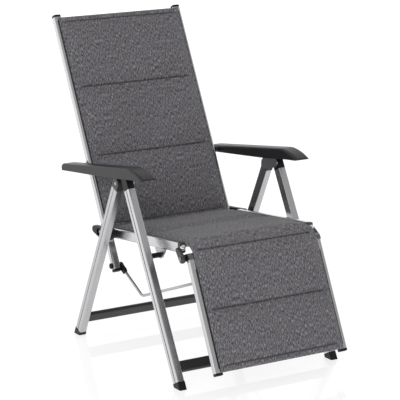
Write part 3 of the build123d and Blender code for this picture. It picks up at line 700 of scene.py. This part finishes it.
@dataclass(frozen=True)
class SlingCloth:
    """Padded sling cloth of grey and dark yarns, with painted shade along its seams."""

    name: str = "sling_cloth"
    dark: Colour = (0.026, 0.024, 0.028)
    middle: Colour = (0.120, 0.115, 0.126)
    light: Colour = (0.385, 0.371, 0.394)
    yarn_stops: tuple[float, float, float] = (0.36, 0.5, 0.66)
    faded: Colour = (0.92, 0.92, 0.92)
    roughness: float = 0.85
    specular: float = 0.3
    sheen: float = 0.12
    sheen_roughness: float = 0.5
    # Colour that the cloth is darkened to along the seams: painted shade.
    seam_painted_shade: float = 0.3
    yarn_relief: float = 0.7
    thread_relief: float = 0.4
    relief: float = 0.0006
    relief_strength: float = 0.7

    def material(self) -> bpy.types.Material:
        """Build the finish on the cloth's own coordinates.

        Returns:
            The material.
        """
        s = Shader(self.name, self.roughness, Specular_IOR_Level=self.specular, Sheen_Weight=self.sheen,
                   Sheen_Roughness=self.sheen_roughness)
        cloth = s.node("ShaderNodeUVMap", uv_map="cloth").outputs[0]
        weave = s.group(weave_group(), {"Vector": cloth})
        yarn = s.ramp(weave["Heather"], list(zip(self.yarn_stops, (self.dark, self.middle, self.light))))
        worn = s.darkened(yarn, s.tone(weave["Drift"], self.faded, WHITE))
        # The sewn attribute darkens the cloth along the seams: painted shade of the seam grooves.
        sewn = s.node("ShaderNodeAttribute", attribute_name="sewn").outputs["Fac"]
        s.feed("Base Color", s.darkened(worn, s.ramp(sewn, [(0.0, WHITE), (1.0, (self.seam_painted_shade,) * 3)])))
        fine = s.maths("MULTIPLY", weave["Thread Height"], self.thread_relief)
        height = s.maths("MULTIPLY_ADD", weave["Heather"], self.yarn_relief, fine)
        s.bump(height, self.relief, self.relief_strength)
        return s.material


# Sling


@dataclass(frozen=True)
class Loft:
    """How the padding swells between its seams, how it is held along them and how much painted shade it gets
    there.
    """

    edge_rise: float = 4.2
    edge_length: float = 4.5
    crown: float = 6.4
    crown_length: float = 46.0
    side_length: float = 9.0
    belly_share: float = 0.5
    thickness: float = 3.0
    sewn_thickness: float = 1.8
    thin_reach: float = 5.0
    side_fade: float = 12.0
    held_reach: float = 9.0
    shade_reach: float = 2.7
    shade_fade: float = 4.0

    def swell(self, along: float, inside: float) -> float:
        """Return how far the padding stands over its sheet.

        Args:
            along: Distance to the nearest seam.
            inside: Distance in from the padding's side edge.

        Returns:
            The swell.
        """
        if inside <= 0 or along <= 0:
            return 0.0
        rise = self.edge_rise * (1 - exp(-along / self.edge_length))
        bow = 1 - (1 - min(along / self.crown_length, 1.0)) ** 2
        return (rise + self.crown * bow) * (1 - exp(-inside / self.side_length))

    def skin(self, along: float, inside: float) -> float:
        """Return the cloth's thickness, which is less beside a seam."""
        near = exp(-((along / self.thin_reach) ** 2)) * smooth(inside / self.side_fade)
        return self.thickness + (self.sewn_thickness - self.thickness) * near

    def held(self, along: float, inside: float) -> float:
        """Return how firmly a place is held while the padding is filled, from 0 to 1."""
        return 1.0 - smooth(min(along / self.held_reach, max(inside, 0.0) / self.side_fade))

    def shade(self, along: float, inside: float) -> float:
        """Return how much painted shade a place gets beside a seam, from 0 to 1."""
        return exp(-((along / self.shade_reach) ** 2)) * smooth(inside / self.shade_fade + 1.0)


@dataclass
class Sheet:
    """The points of a panel's two sides, row by row, and what they carry."""

    upper: list[Vector] = field(default_factory=list)
    lower: list[Vector] = field(default_factory=list)
    cloth: list[Plan] = field(default_factory=list)
    sewn: list[float] = field(default_factory=list)
    held: list[float] = field(default_factory=list)
    kept: list[bool] = field(default_factory=list)

    def faces(self, cols: int) -> list[tuple[int, ...]]:
        """Return the faces of both sides and of the walls round what is kept.

        Args:
            cols: Number of points in a row.

        Returns:
            The faces, all facing outward.
        """
        total = len(self.kept)
        faces: list[tuple[int, ...]] = []
        edges: set[tuple[int, int]] = set()
        for row in range(0, total - cols, cols):
            for a in range(row, row + cols - 1):
                quad = (a, a + 1, a + cols + 1, a + cols)
                if all(self.kept[k] for k in quad):
                    faces.append(quad)
                    faces.append(tuple(total + k for k in reversed(quad)))
                    edges.update(zip(quad, quad[1:] + quad[:1]))
        return faces + [(b, a, a + total, b + total) for a, b in sorted(edges) if (b, a) not in edges]


@dataclass
class Panel:
    """One panel of the sling between two sewn lines, made as a closed padded form."""

    name: str
    start: Mark | None
    end: Mark | None
    bodies: tuple[Body, ...]
    inset: float
    fill: float
    seams: tuple[Mark, ...] = ()
    stitched: tuple[Mark, ...] = ()
    replaces: tuple[str, ...] = ()
    loft: Loft = field(default_factory=Loft)
    sewn_inset: float = 30.0
    columns: tuple[float, ...] = (0.0, 1.6, 4.0, 8.0, 12.0, 17.0, 23.0, 30.0, 38.0)
    rows: tuple[float, ...] = (0.0, 1.5, 3.6, 6.5, 11.0, 17.0, 24.0, 31.0)
    step: float = 7.6
    short_stretch: float = 60.0
    short_step: float = 1.9
    middle_room: float = 2.0
    no_seam: float = 99.0
    rail_room: float = 0.01
    flap_reach: float = 4.0
    least_weight: float = 0.001

    def _stations(self, line: SlingLine) -> list[float]:
        """Lay out the rows, closer near the seams.

        Args:
            line: The sling's line.

        Returns:
            The rows' places along the sling.
        """
        low = 0.0 if self.start is None else line.marks[self.start]
        high = line.total if self.end is None else line.marks[self.end]
        stops = sorted({low, high, *(line.marks[m] for m in self.seams)})
        places: list[float] = []
        for a, b in zip(stops, stops[1:]):
            if b - a < self.short_stretch:
                count = max(2, round((b - a) / self.short_step))
                places += [a + (b - a) * i / count for i in range(count)]
                continue
            near = [r for r in self.rows if r < (b - a) / 2 - self.middle_room]
            first, last = a + near[-1], b - near[-1]
            count = max(1, round((last - first) / self.step))
            places += [a + r for r in near[:-1]]
            places += [first + (last - first) * i / count for i in range(count + 1)]
            places += [b - r for r in reversed(near[1:-1])]
        return places + [high]

    def _across(self, cut: Cut, half: float) -> list[float]:
        """Lay out the columns, closer near the edges.

        Args:
            cut: The sling's widths.
            half: The panel's greatest half width.

        Returns:
            The columns' places across the chair.
        """
        edge = sorted({*(half - c for c in self.columns), cut.between_rails}, reverse=True)
        inner = edge[-1]
        count = round(2 * inner / self.step)
        middle = [-inner + 2 * inner * i / count for i in range(1, count)]
        return [-x for x in edge] + middle + list(reversed(edge))

    def _sheet(self, line: SlingLine, cut: Cut, stations: list[float], widest: list[float]) -> Sheet:
        """Lay out the panel's points.

        Args:
            line: The sling's line.
            cut: The sling's widths.
            stations: The rows' places along the sling.
            widest: The columns' places where the panel is widest.

        Returns:
            The points and what they carry.
        """
        sheet, loft = Sheet(), self.loft
        stops = [line.marks[m] for m in self.seams]
        for v in stations:
            half, past = cut.half(line, v), cut.beyond(line, v)
            turned, flat = (line.at(v), line.outward(v)), self._flap(line, v, past)
            padded = len(stops) > 1 and stops[0] <= v <= stops[-1]
            gap = min((abs(v - s) for s in stops), default=self.no_seam)
            for place in widest:
                x = place * half / widest[-1]
                outside = past > 0.0 and abs(place) > cut.between_rails + self.rail_room
                point, out = flat if outside else turned
                inside = half - self.inset - abs(x)
                swell = loft.swell(gap, inside) if padded else 0.0
                skin = loft.skin(gap, inside) / 2
                heights = (skin + swell, -skin - swell * loft.belly_share)
                for side, height in zip((sheet.upper, sheet.lower), heights):
                    raised = (point[0] + out[0] * height, point[1] + out[1] * height)
                    side.append(line.plan.metres(x, raised))
                sheet.cloth.append((x / MM_PER_M, v / MM_PER_M))
                # Painted shade along the seams, kept in the sewn attribute.
                sheet.sewn.append(loft.shade(gap, half - self.sewn_inset - abs(x)))
                sheet.held.append(loft.held(gap, inside) if padded else 1.0)
                sheet.kept.append(not outside or past <= cut.flap)
        return sheet

    def build(self, line: SlingLine, cut: Cut) -> bpy.types.Object:
        """Make the panel's mesh, with its cloth coordinates and the painted shade along its seams marked.

        Args:
            line: The sling's line.
            cut: The sling's widths.

        Returns:
            The panel as an object.
        """
        stations = self._stations(line)
        widest = self._across(cut, max(cut.half(line, v) for v in stations))
        sheet = self._sheet(line, cut, stations, widest)
        mesh = plain_mesh(self.name, [*sheet.upper, *sheet.lower], sheet.faces(len(widest)))
        layer = mesh.uv_layers.new(name="cloth")
        for loop in mesh.loops:
            layer.data[loop.index].uv = sheet.cloth[loop.vertex_index % len(sheet.cloth)]
        mesh.attributes.new("sewn", "FLOAT", "POINT").data.foreach_set("value", sheet.sewn * 2)
        mesh.polygons.foreach_set("use_smooth", [True] * len(mesh.polygons))
        obj = placed(self.name, mesh)
        group = obj.vertex_groups.new(name="held")
        for index, weight in enumerate(sheet.held * 2):
            if weight > self.least_weight:
                group.add([index], weight, "REPLACE")
        self._drop_loose(mesh)
        return obj

    @staticmethod
    def _drop_loose(mesh: bpy.types.Mesh) -> None:
        """Take away the points that no face uses.

        Args:
            mesh: The mesh.
        """
        work = bmesh.new()
        work.from_mesh(mesh)
        loose = [v for v in work.verts if not v.link_faces]
        bmesh.ops.delete(work, geom=loose, context="VERTS")
        work.to_mesh(mesh)
        work.free()
        mesh.update()

    def _flap(self, line: SlingLine, v: float, past: float) -> tuple[Plan, Plan]:
        """Return where the cloth lies over the rails, straight on past the cross tube's turn.

        Args:
            line: The sling's line.
            v: Length along the line.
            past: How far that is past the cloth's flat part.

        Returns:
            The side plan point and the direction that the cloth faces there.
        """
        lower = v < line.marks[Mark.LOWER_TURN]
        edge = line.marks[Mark.LOWER_TURN if lower else Mark.UPPER_TURN]
        base, out = line.at(edge), line.outward(edge + (self.flap_reach if lower else -self.flap_reach))
        side = -past if lower else past
        return (base[0] + out[1] * side, base[1] - out[0] * side), out


@dataclass(frozen=True)
class Stuffing:
    """The cloth simulation that fills the panels and how far it may move them, in metres."""

    pressure: float = 4.0
    frames: int = 20
    quality: int = 5
    mass: float = 0.25
    stretch: float = 12.0
    shear: float = 8.0
    bending: float = 0.6
    air: float = 3.0
    spare: float = 0.012
    cap: float = 0.006

    def _prepare(self, obj: bpy.types.Object) -> None:
        """Give a panel its cloth settings.

        Args:
            obj: The panel's object.
        """
        cloth = obj.modifiers.new("stuffing", "CLOTH")
        s = cloth.settings
        s.quality, s.mass = self.quality, self.mass
        s.tension_stiffness = s.compression_stiffness = self.stretch
        s.shear_stiffness, s.bending_stiffness = self.shear, self.bending
        s.air_damping = self.air
        s.vertex_group_mass, s.pin_stiffness = "held", 1.0
        s.shrink_min = -self.spare
        s.use_pressure, s.uniform_pressure_force = True, self.pressure
        s.effector_weights.gravity = 0.0
        cloth.collision_settings.use_collision = False
        cloth.collision_settings.use_self_collision = False
        cloth.point_cache.frame_start, cloth.point_cache.frame_end = 1, self.frames

    def fill(self, panels: list[bpy.types.Object]) -> None:
        """Blow the panels up between their sewn lines, and keep the result in their meshes.

        Args:
            panels: The panels, each with a vertex group of what is held.
        """
        scene = bpy.context.scene
        scene.frame_start, scene.frame_end = 1, self.frames
        for obj in panels:
            self._prepare(obj)
        for number in range(1, self.frames + 1):
            scene.frame_set(number)
        graph = bpy.context.evaluated_depsgraph_get()
        for obj in panels:
            done = obj.evaluated_get(graph).to_mesh()
            places = []
            for rest, moved in zip(obj.data.vertices, done.vertices):
                step = moved.co - rest.co
                if step.length > self.cap:
                    step = step.normalized() * self.cap
                places.append(rest.co + step)
            obj.evaluated_get(graph).to_mesh_clear()
            obj.modifiers.clear()
            for vertex, place in zip(obj.data.vertices, places):
                vertex.co = place
        scene.frame_set(1)


def settled(obj: bpy.types.Object, levels: int = 1) -> bpy.types.Object:
    """Smooth an object by subdivision and keep the result as its mesh.

    Args:
        obj: The object.
        levels: Number of subdivisions.

    Returns:
        The same object.
    """
    smoother = obj.modifiers.new("smooth", "SUBSURF")
    smoother.levels = smoother.render_levels = levels
    graph = bpy.context.evaluated_depsgraph_get()
    mesh = bpy.data.meshes.new_from_object(obj.evaluated_get(graph), preserve_all_data_layers=True,
                                           depsgraph=graph)
    obj.modifiers.clear()
    obj.vertex_groups.clear()
    old = obj.data
    obj.data = mesh
    mesh.name = obj.name
    bpy.data.meshes.remove(old)
    return obj


# Geometry node trees for what follows a line


class LineTool(NodeGroup):
    """A geometry node tree that turns a line into finished pieces."""

    def __init__(self, name: str, sizes: dict[str, float]) -> None:
        """Start a tree with its named sizes and their values."""
        super().__init__(name, "GeometryNodeTree", {"Geometry": "Geometry", **sizes, "Material": "Material"},
                         {"Geometry": "Geometry"})

    def end(self, geometry: Socket) -> None:
        """Close the tree with Realize Instances and Set Material.

        Args:
            geometry: What the tree has made.
        """
        real = self.node("GeometryNodeRealizeInstances", {"Geometry": geometry}).outputs[0]
        inputs = {"Geometry": real, "Material": self.source["Material"]}
        self.put("Geometry", self.node("GeometryNodeSetMaterial", inputs).outputs[0])

    def apply(self, name: str, lines: list[list[Vector]], material: bpy.types.Material) -> bpy.types.Object:
        """Run the tree on some lines and keep the result as a plain mesh.

        Args:
            name: Name of the new piece.
            lines: Points of each line, in metres.
            material: The piece's material.

        Returns:
            The new piece.
        """
        edges, first = [], 0
        for line in lines:
            edges += [(first + i, first + i + 1) for i in range(len(line) - 1)]
            first += len(line)
        carrier = placed(name + "_line", plain_mesh(name, [p for line in lines for p in line], edges=edges))
        modifier = carrier.modifiers.new("line_tool", "NODES")
        modifier.node_group = self.tree
        modifier[self.keys["Material"]] = material
        graph = bpy.context.evaluated_depsgraph_get()
        made = bpy.data.meshes.new_from_object(carrier.evaluated_get(graph), depsgraph=graph)
        made.name = name
        line_mesh = carrier.data
        bpy.data.objects.remove(carrier)
        bpy.data.meshes.remove(line_mesh)
        return placed(name, made)


def bead_tool() -> LineTool:
    """Make the tool that runs a round bead along a line.

    Returns:
        The tool.
    """
    tool = LineTool("bead", {"Radius": 0.0018, "Sides": 10})
    s = tool.source
    curve = tool.node("GeometryNodeMeshToCurve", {"Mesh": s["Geometry"]}).outputs[0]
    ring = tool.node("GeometryNodeCurvePrimitiveCircle", {"Radius": s["Radius"], "Resolution": s["Sides"]})
    tube = tool.node("GeometryNodeCurveToMesh",
                     {"Curve": curve, "Profile Curve": ring.outputs[0], "Fill Caps": True})
    tool.end(tool.node("GeometryNodeSetShadeSmooth", {"Geometry": tube.outputs[0]}).outputs[0])
    return tool


def stitch_tool() -> LineTool:
    """Make the tool that sews a row of small stitches along a line.

    Returns:
        The tool.
    """
    sizes = {"Spacing": 0.0048, "Length": 0.0034, "Width": 0.0009, "Wobble": 0.05, "Seed": 3}
    tool = LineTool("stitches", sizes)
    s = tool.source
    curve = tool.node("GeometryNodeMeshToCurve", {"Mesh": s["Geometry"]}).outputs[0]
    even = tool.node("GeometryNodeResampleCurve", {"Curve": curve, "Length": s["Spacing"]}, mode="LENGTH")
    ball = tool.node("GeometryNodeMeshUVSphere", {"Segments": 6, "Rings": 4, "Radius": 0.5}).outputs["Mesh"]
    size = tool.vector(s["Length"], s["Width"], s["Width"])
    grain = tool.node("GeometryNodeTransform", {"Geometry": ball, "Scale": size}).outputs[0]
    tangent = tool.node("GeometryNodeInputTangent").outputs[0]
    turn = tool.node("FunctionNodeAlignEulerToVector", {"Vector": tangent}, axis="X").outputs[0]
    spread = tool.maths("MULTIPLY", s["Wobble"], -1.0)
    low, high = (tool.vector(reach, reach, reach) for reach in (spread, s["Wobble"]))
    chance = tool.node("FunctionNodeRandomValue", {0: low, 1: high, "Seed": s["Seed"]},
                       data_type="FLOAT_VECTOR")
    angle = tool.vector_maths("ADD", turn, chance.outputs[0])
    sewn = {"Points": even.outputs[0], "Instance": grain, "Rotation": angle}
    tool.end(tool.node("GeometryNodeInstanceOnPoints", sewn).outputs[0])
    return tool


@dataclass(frozen=True)
class EdgeBead:
    """A bead beside the rails, between two named places of the sling and shifts from them."""

    name: str
    body: Body
    start: Mark
    end: Mark
    inset: float
    start_shift: float = 0.0
    end_shift: float = 0.0


@dataclass
class Sling:
    """The whole padded sling, with its edge beads and stitch rows."""

    plan: SidePlan
    cut: Cut = field(default_factory=Cut)
    nose_bend: tuple[Plan, Plan] = ((8.0, 418.0), (50.0, 468.5))
    crease_room: float = 4.0
    bead_step: float = 6.0
    stitch_room: float = 2.0
    stitch_height: float = 1.1
    stitch_steps: int = 60

    def __post_init__(self) -> None:
        """Lay out the sling's line, its panels and its beads."""
        self.line = SlingLine(self.plan)
        shin = (Mark.LOWER_SEAM, Mark.SHIN_SEAM)
        seat = (Mark.SHIN_SEAM, Mark.NOSE_SEAM, Mark.SEAT_SEAM, Mark.REAR_SEAM)
        back = (Mark.LUMBAR_SEAM, Mark.WAIST_SEAM, Mark.SHOULDER_SEAM, Mark.UPPER_SEAM)
        self.panels = [
            Panel("footrest_panel", None, Mark.SHIN_SEAM, (Body.FOOTREST,), inset=3.0, fill=0.5,
                  seams=shin, stitched=shin, replaces=("footrest_pad",), loft=Loft(side_length=6.0),
                  sewn_inset=24.0),
            Panel("seat_panel", Mark.SHIN_SEAM, Mark.REAR_SEAM, (Body.FOOTREST, Body.SEAT), inset=5.0,
                  fill=0.5, seams=seat, stitched=(Mark.SEAT_SEAM, Mark.REAR_SEAM), replaces=("seat_pad",),
                  loft=Loft(crown=4.6), sewn_inset=22.0),
            Panel("crease_panel", Mark.REAR_SEAM, Mark.LUMBAR_SEAM, (Body.SEAT, Body.BACK), inset=18.0,
                  fill=0.1),
            Panel("back_panel", Mark.LUMBAR_SEAM, None, (Body.BACK,), inset=8.0, fill=0.5,
                  seams=back, stitched=back, replaces=("back_pad",), loft=Loft(side_length=12.0),
                  sewn_inset=30.0),
        ]
        self.beads = [
            EdgeBead("footrest_bead", Body.FOOTREST, Mark.LOWER_TURN, Mark.SHIN_SEAM, inset=-0.9,
                     end_shift=140.0),
            EdgeBead("seat_bead", Body.SEAT, Mark.SEAT_FRONT, Mark.REAR_SEAM, inset=1.2, start_shift=8.0,
                     end_shift=-48.0),
            EdgeBead("back_bead", Body.BACK, Mark.LUMBAR_SEAM, Mark.UPPER_TURN, inset=-0.7, end_shift=-1.0),
        ]

    def build(self, cloth: bpy.types.Material) -> None:
        """Make, fill and hang the panels.

        Args:
            cloth: The sling's material.
        """
        objects = {panel.name: panel.build(self.line, self.cut) for panel in self.panels}
        Stuffing().fill([objects[p.name] for p in self.panels if p.seams])
        LOG.info("stuffing: panels filled")
        for panel in self.panels:
            obj = settled(objects[panel.name])
            obj.data.materials.clear()
            obj.data.materials.append(cloth)
            self._hang(panel, obj)
            LOG.info("%s: %d faces", panel.name, len(obj.data.polygons))

    def _hang(self, panel: Panel, obj: bpy.types.Object) -> None:
        """Fix a panel to its body, or keep a panel between two bodies where it is made.

        Args:
            panel: The panel's layout.
            obj: The panel's object.
        """
        if len(panel.bodies) == 1:
            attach(obj, panel.bodies[0].value)
        else:
            start, end = self._bend_span(panel)
            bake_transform(obj)
        if panel.replaces:
            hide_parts(*panel.replaces)

    def _bend_span(self, panel: Panel) -> tuple[Vector, Vector]:
        """Find where a panel bends from its first body to its second one.

        Args:
            panel: The panel's layout.

        Returns:
            Start and end of the bend, in metres.
        """
        first, last = self.nose_bend
        if not panel.seams:
            first = self.line.at(self.line.marks[panel.start] + self.crease_room)
            last = self.line.at(self.line.marks[panel.end] - self.crease_room)
        return self.plan.metres(0.0, first), self.plan.metres(0.0, last)

    def trim(self, edging: bpy.types.Material, thread: bpy.types.Material) -> None:
        """Add the beads along the sling's edges and the stitches along its seams.

        Args:
            edging: Material of the beads.
            thread: Material of the stitches.
        """
        tool, needle = bead_tool(), stitch_tool()
        for bead in self.beads:
            obj = tool.apply(bead.name, [self._edge_line(bead, side) for side in (-1.0, 1.0)], edging)
            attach(obj, bead.body.value)
        for panel in self.panels:
            if not panel.stitched:
                continue
            body = panel.bodies[-1].value
            lines = [self._seam_line(mark, panel.sewn_inset) for mark in panel.stitched]
            obj = needle.apply(body + "_stitches", lines, thread)
            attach(obj, body)

    def _edge_line(self, bead: EdgeBead, side: float) -> list[Vector]:
        """Return the line that a bead follows.

        Args:
            bead: The bead.
            side: 1 for the left edge and -1 for the right one.

        Returns:
            The points in metres.
        """
        start = self.line.marks[bead.start] + bead.start_shift
        end = self.line.marks[bead.end] + bead.end_shift
        count = max(2, int((end - start) / self.bead_step))
        points = []
        for i in range(count + 1):
            v = start + (end - start) * i / count
            width = self.cut.half(self.line, v) - bead.inset
            points.append(self.plan.metres(side * width, self.line.at(v)))
        return points

    def _seam_line(self, mark: Mark, inset: float) -> list[Vector]:
        """Return the line of a seam's stitches.

        Args:
            mark: The seam.
            inset: How far the padding stays in from the sling's edge.

        Returns:
            The points in metres.
        """
        v = self.line.marks[mark]
        reach = self.cut.half(self.line, v) - inset - self.stitch_room
        point, out = self.line.at(v), self.line.outward(v)
        place = (point[0] + out[0] * self.stitch_height, point[1] + out[1] * self.stitch_height)
        steps = self.stitch_steps
        return [self.plan.metres(-reach + 2 * reach * i / steps, place) for i in range(steps + 1)]


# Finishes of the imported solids


class FrameFinishes:
    """The materials of the chair's frame, each with its grain along its own tubes."""

    def __init__(self, plan: SidePlan) -> None:
        """List each finish with the nodes that wear it, where * stands for the left and the right one.

        Args:
            plan: The chair's side plan, which gives the leans of the grain.
        """
        self.table: list[tuple[Moulding | DrawnMetal, tuple[str, ...]]] = [
            (DrawnMetal("front_leg_aluminium", lean=plan.front_leg_lean), ("front_leg*",)),
            # The rear legs take a darker copy of the legs' metal: painted shade, since they stand in shadow.
            (DrawnMetal("rear_leg_aluminium", (0.58, 0.58, 0.59), (0.45, 0.45, 0.46),
                        lean=plan.rear_leg_lean), ("rear_leg*",)),
            (DrawnMetal("seat_aluminium", lean=plan.seat_lean), ("seat_rail*",)),
            (DrawnMetal("back_aluminium", lean=plan.back_lean), ("back_rail*",)),
            (DrawnMetal("footrest_aluminium", lean=plan.footrest_lean), ("footrest_rail*",)),
            (Moulding("bar_paint", (0.026, 0.026, 0.028), roughness=0.32, grain=1800.0, relief=0.00003),
             ("front_crossbar", "rear_crossbar")),
            (Moulding("black_moulding", (0.007, 0.007, 0.008), roughness=0.42, specular=0.3),
             ("front_foot*", "rear_foot*", "front_head*", "back_top_caps", "back_bottom_caps",
              "footrest_caps", "rod_clamp*", "rod_pivot_bolts", "seat_rear_bracket*", "armrest_rack*",
              "seat_pivot_spacers", "seat_pivot_bolts", "back_low_tube")),
            (Moulding("arm_moulding", (0.013, 0.013, 0.015), roughness=0.38, grain=900.0, relief=0.00008,
                      specular=0.4), ("armrest*",)),
            (Moulding("grey_moulding", (0.034, 0.034, 0.036), roughness=0.36),
             ("rear_knuckle*", "seat_front_fitting*")),
            (DrawnMetal("crank_metal", (0.26, 0.26, 0.27), (0.18, 0.18, 0.19), roughness=0.26, across=600.0,
                        along=600.0), ("footrest_fitting*", "footrest_hinge_pins")),
            (DrawnMetal("bright_metal", (0.86, 0.86, 0.87), (0.78, 0.78, 0.79), roughness=0.12, across=500.0,
                        along=500.0), ("seat_front_domes",)),
            (DrawnMetal("plain_steel", (0.55, 0.55, 0.56), (0.42, 0.42, 0.43), roughness=0.34, across=700.0,
                        along=700.0),
             ("apex_plate*", "apex_pins", "catch_pins", "seat_rest_pins", "seat_pivot_plate*",
              "seat_front_tube", "seat_rear_tube", "back_hinge_pins", "back_top_tube", "arm_pivot_bolts",
              "rod_lugs", "footrest_tube", "push_rod*")),
        ]

    def dress(self, nodes: dict[str, bpy.types.Object]) -> None:
        """Give every node of the frame its finish.

        Args:
            nodes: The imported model's nodes.
        """
        done: set[str] = set()
        for finish, names in self.table:
            material = finish.material()
            for name in names:
                for node in sorted({name.replace("*", "_left"), name.replace("*", "_right")}):
                    for holder in nodes[node].material_slots:
                        holder.material = material
                    done.add(node)
        LOG.info("frame: %d nodes dressed, left: %s", len(done), sorted(set(nodes) - done))


# Small trim of the frame: painted shade in the front legs' grooves


@dataclass
class LegGrooveShades:
    """Dark strips that lie in the grooves along the front legs' outer faces: painted shade of the grooves."""

    outer: float = 317.0
    sunk: float = 0.5
    width: float = 3.6
    depth: float = 0.7
    start: float = 22.0
    end: float = 684.0

    def build(self, plan: SidePlan, material: bpy.types.Material) -> None:
        """Make the shade strips and let them ride the front leg frame.

        Args:
            plan: The chair's side plan.
            material: The strips' material, dark for painted shade.
        """
        half = self.width / 2
        corners = ((self.start, -half), (self.end, -half), (self.end, half), (self.start, half))
        face = self.outer - self.sunk
        quads = [(0, 3, 2, 1), (4, 5, 6, 7)] + [(k, (k + 1) % 4, (k + 1) % 4 + 4, k + 4) for k in range(4)]
        points: list[Vector] = []
        faces: list[tuple[int, ...]] = []
        for side in (-1.0, 1.0):
            first = len(points)
            points += [plan.metres(side * x, plan.on_front_leg(*corner))
                       for x in (face - self.depth, face) for corner in corners]
            faces += [tuple(first + k for k in (quad if side < 0 else reversed(quad))) for quad in quads]
        mesh = plain_mesh("leg_inlays", points, faces)
        mesh.materials.append(material)
        obj = placed("leg_inlays", mesh)
        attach(obj, Body.FRONT.value)


# Studio


@dataclass(frozen=True)
class View:
    """The photograph's view of the chair, in metres and degrees, with the lens in millimetres."""

    lens: float = 175.1
    sensor: float = 36.0
    azimuth: float = -31.69
    elevation: float = 13.80
    roll: float = 0.107
    target: tuple[float, float, float] = (-0.2292, -0.404462, 0.6291)
    distance: float = 6.2934
    near: float = 0.1
    far: float = 200.0

    def build(self) -> None:
        """Make the camera."""
        a, e = radians(self.azimuth), radians(self.elevation)
        back = Vector((sin(a) * cos(e), -cos(a) * cos(e), sin(e)))
        data = bpy.data.cameras.new("view")
        data.lens, data.sensor_width = self.lens, self.sensor
        data.clip_start, data.clip_end = self.near, self.far
        camera = placed("view", data)
        camera.location = Vector(self.target) + back * self.distance
        camera.rotation_mode = "QUATERNION"
        turn = (-back).to_track_quat("-Z", "Y")
        camera.rotation_quaternion = turn @ Quaternion((0.0, 0.0, 1.0), radians(self.roll))
        bpy.context.scene.camera = camera


@dataclass(frozen=True)
class SoftBox:
    """A soft square light that looks at the chair, in metres and watts."""

    name: str
    place: tuple[float, float, float]
    power: float
    size: float = 2.4
    aim: tuple[float, float, float] = (0.0, 0.0, 0.5)

    def build(self) -> None:
        """Hang the light, unseen in mirroring surfaces."""
        data = bpy.data.lights.new(self.name, "AREA")
        data.size, data.energy = self.size, self.power
        light = placed(self.name, data)
        light.visible_glossy = False
        light.location = self.place
        light.rotation_mode = "QUATERNION"
        light.rotation_quaternion = (Vector(self.aim) - Vector(self.place)).to_track_quat("-Z", "Y")


@dataclass
class Studio:
    """The pale floor, the soft lights and the surroundings that the metal mirrors."""

    front: float = 0.46
    back: float = 1.04
    over: float = 0.55
    turn_reach: float = 0.45
    over_from: float = 0.55
    floor_glow: float = 0.74
    floor_tone: float = 0.28
    floor_drift: float = 0.01
    floor_half: float = 30.0
    floor_roughness: float = 0.03
    floor_ior: float = 1.2
    lights: tuple[SoftBox, ...] = (SoftBox("key", (-3.6, -3.4, 2.6), power=95.0),
                                   SoftBox("fill", (3.8, -3.0, 2.0), power=28.0))

    def build(self) -> None:
        """Make the floor, the surroundings and the lights."""
        scene = bpy.context.scene
        scene.view_settings.view_transform = "Standard"
        scene.view_settings.look = "None"
        self._floor()
        scene.world = self._world()
        for light in self.lights:
            light.build()

    def _floor(self) -> None:
        """Make the pale floor with a faint gloss."""
        r, tone = self.floor_half, self.floor_tone
        mesh = plain_mesh("floor", [(-r, -r, 0.0), (r, -r, 0.0), (r, r, 0.0), (-r, r, 0.0)], [(0, 1, 2, 3)])
        floor = placed("floor", mesh)
        s = Shader("floor_gloss", self.floor_roughness, IOR=self.floor_ior, Emission_Strength=self.floor_glow,
                   Emission_Color=(*WHITE, 1.0))
        cloud = s.noise(s.place(), scale=0.7, detail=2.0)
        s.feed("Base Color", s.tone(cloud, (tone,) * 3, (tone + self.floor_drift,) * 3))
        mesh.materials.append(s.material)

    def _world(self) -> bpy.types.World:
        """Make surroundings that are white to the camera, dark in front and bright behind.

        Returns:
            The world.
        """
        world = bpy.data.worlds.new("studio")
        world.use_nodes = True
        w = Nodes(world.node_tree)
        w.tree.nodes.clear()
        place = w.node("ShaderNodeTexCoord").outputs["Generated"]
        parts = w.node("ShaderNodeSeparateXYZ", {"Vector": place}).outputs
        spans = (("Y", -self.turn_reach, self.turn_reach, self.front, self.back),
                 ("Z", self.over_from, 1.0, 0.0, 1.0))
        depth, height = (
            w.node("ShaderNodeMapRange", {"Value": parts[axis], "From Min": start, "From Max": end,
                                          "To Min": low, "To Max": high},
                   interpolation_type="SMOOTHSTEP").outputs[0]
            for axis, start, end, low, high in spans)
        level = w.node("ShaderNodeMix", {"Factor": height, "A": depth, "B": self.over},
                       data_type="FLOAT").outputs[0]
        lit, seen = (w.node("ShaderNodeBackground", {"Color": (*WHITE, 1.0), "Strength": strength}).outputs[0]
                     for strength in (level, 1.0))
        camera_ray = w.node("ShaderNodeLightPath").outputs["Is Camera Ray"]
        mix = w.node("ShaderNodeMixShader", {0: camera_ray, 1: lit, 2: seen}).outputs[0]
        w.node("ShaderNodeOutputWorld", {"Surface": mix})
        return world


def main() -> None:
    """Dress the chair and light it."""
    logging.basicConfig(level=logging.INFO, format="%(name)s: %(message)s")
    for name in ("Cube", "Light", "Camera"):
        if name in bpy.data.objects:
            bpy.data.objects.remove(bpy.data.objects[name])
    plan = SidePlan()
    View().build()
    FrameFinishes(plan).dress(frame["nodes"])
    sling = Sling(plan)
    sling.build(SlingCloth().material())
    edging = Moulding("edge_bead", (0.008, 0.008, 0.009), roughness=0.5).material()
    thread = Moulding("thread", (0.035, 0.035, 0.038), roughness=0.7).material()
    sling.trim(edging, thread)
    LOG.info("sling: %.3f m long", sling.line.total / MM_PER_M)
    # Dark strips in the front legs' grooves: painted shade.
    LegGrooveShades().build(plan, Moulding("leg_inlay", (0.05, 0.05, 0.053), roughness=0.5).material())
    LOG.info("trim: leg inlays placed")
    Studio().build()


if __name__ == "__main__":
    main()
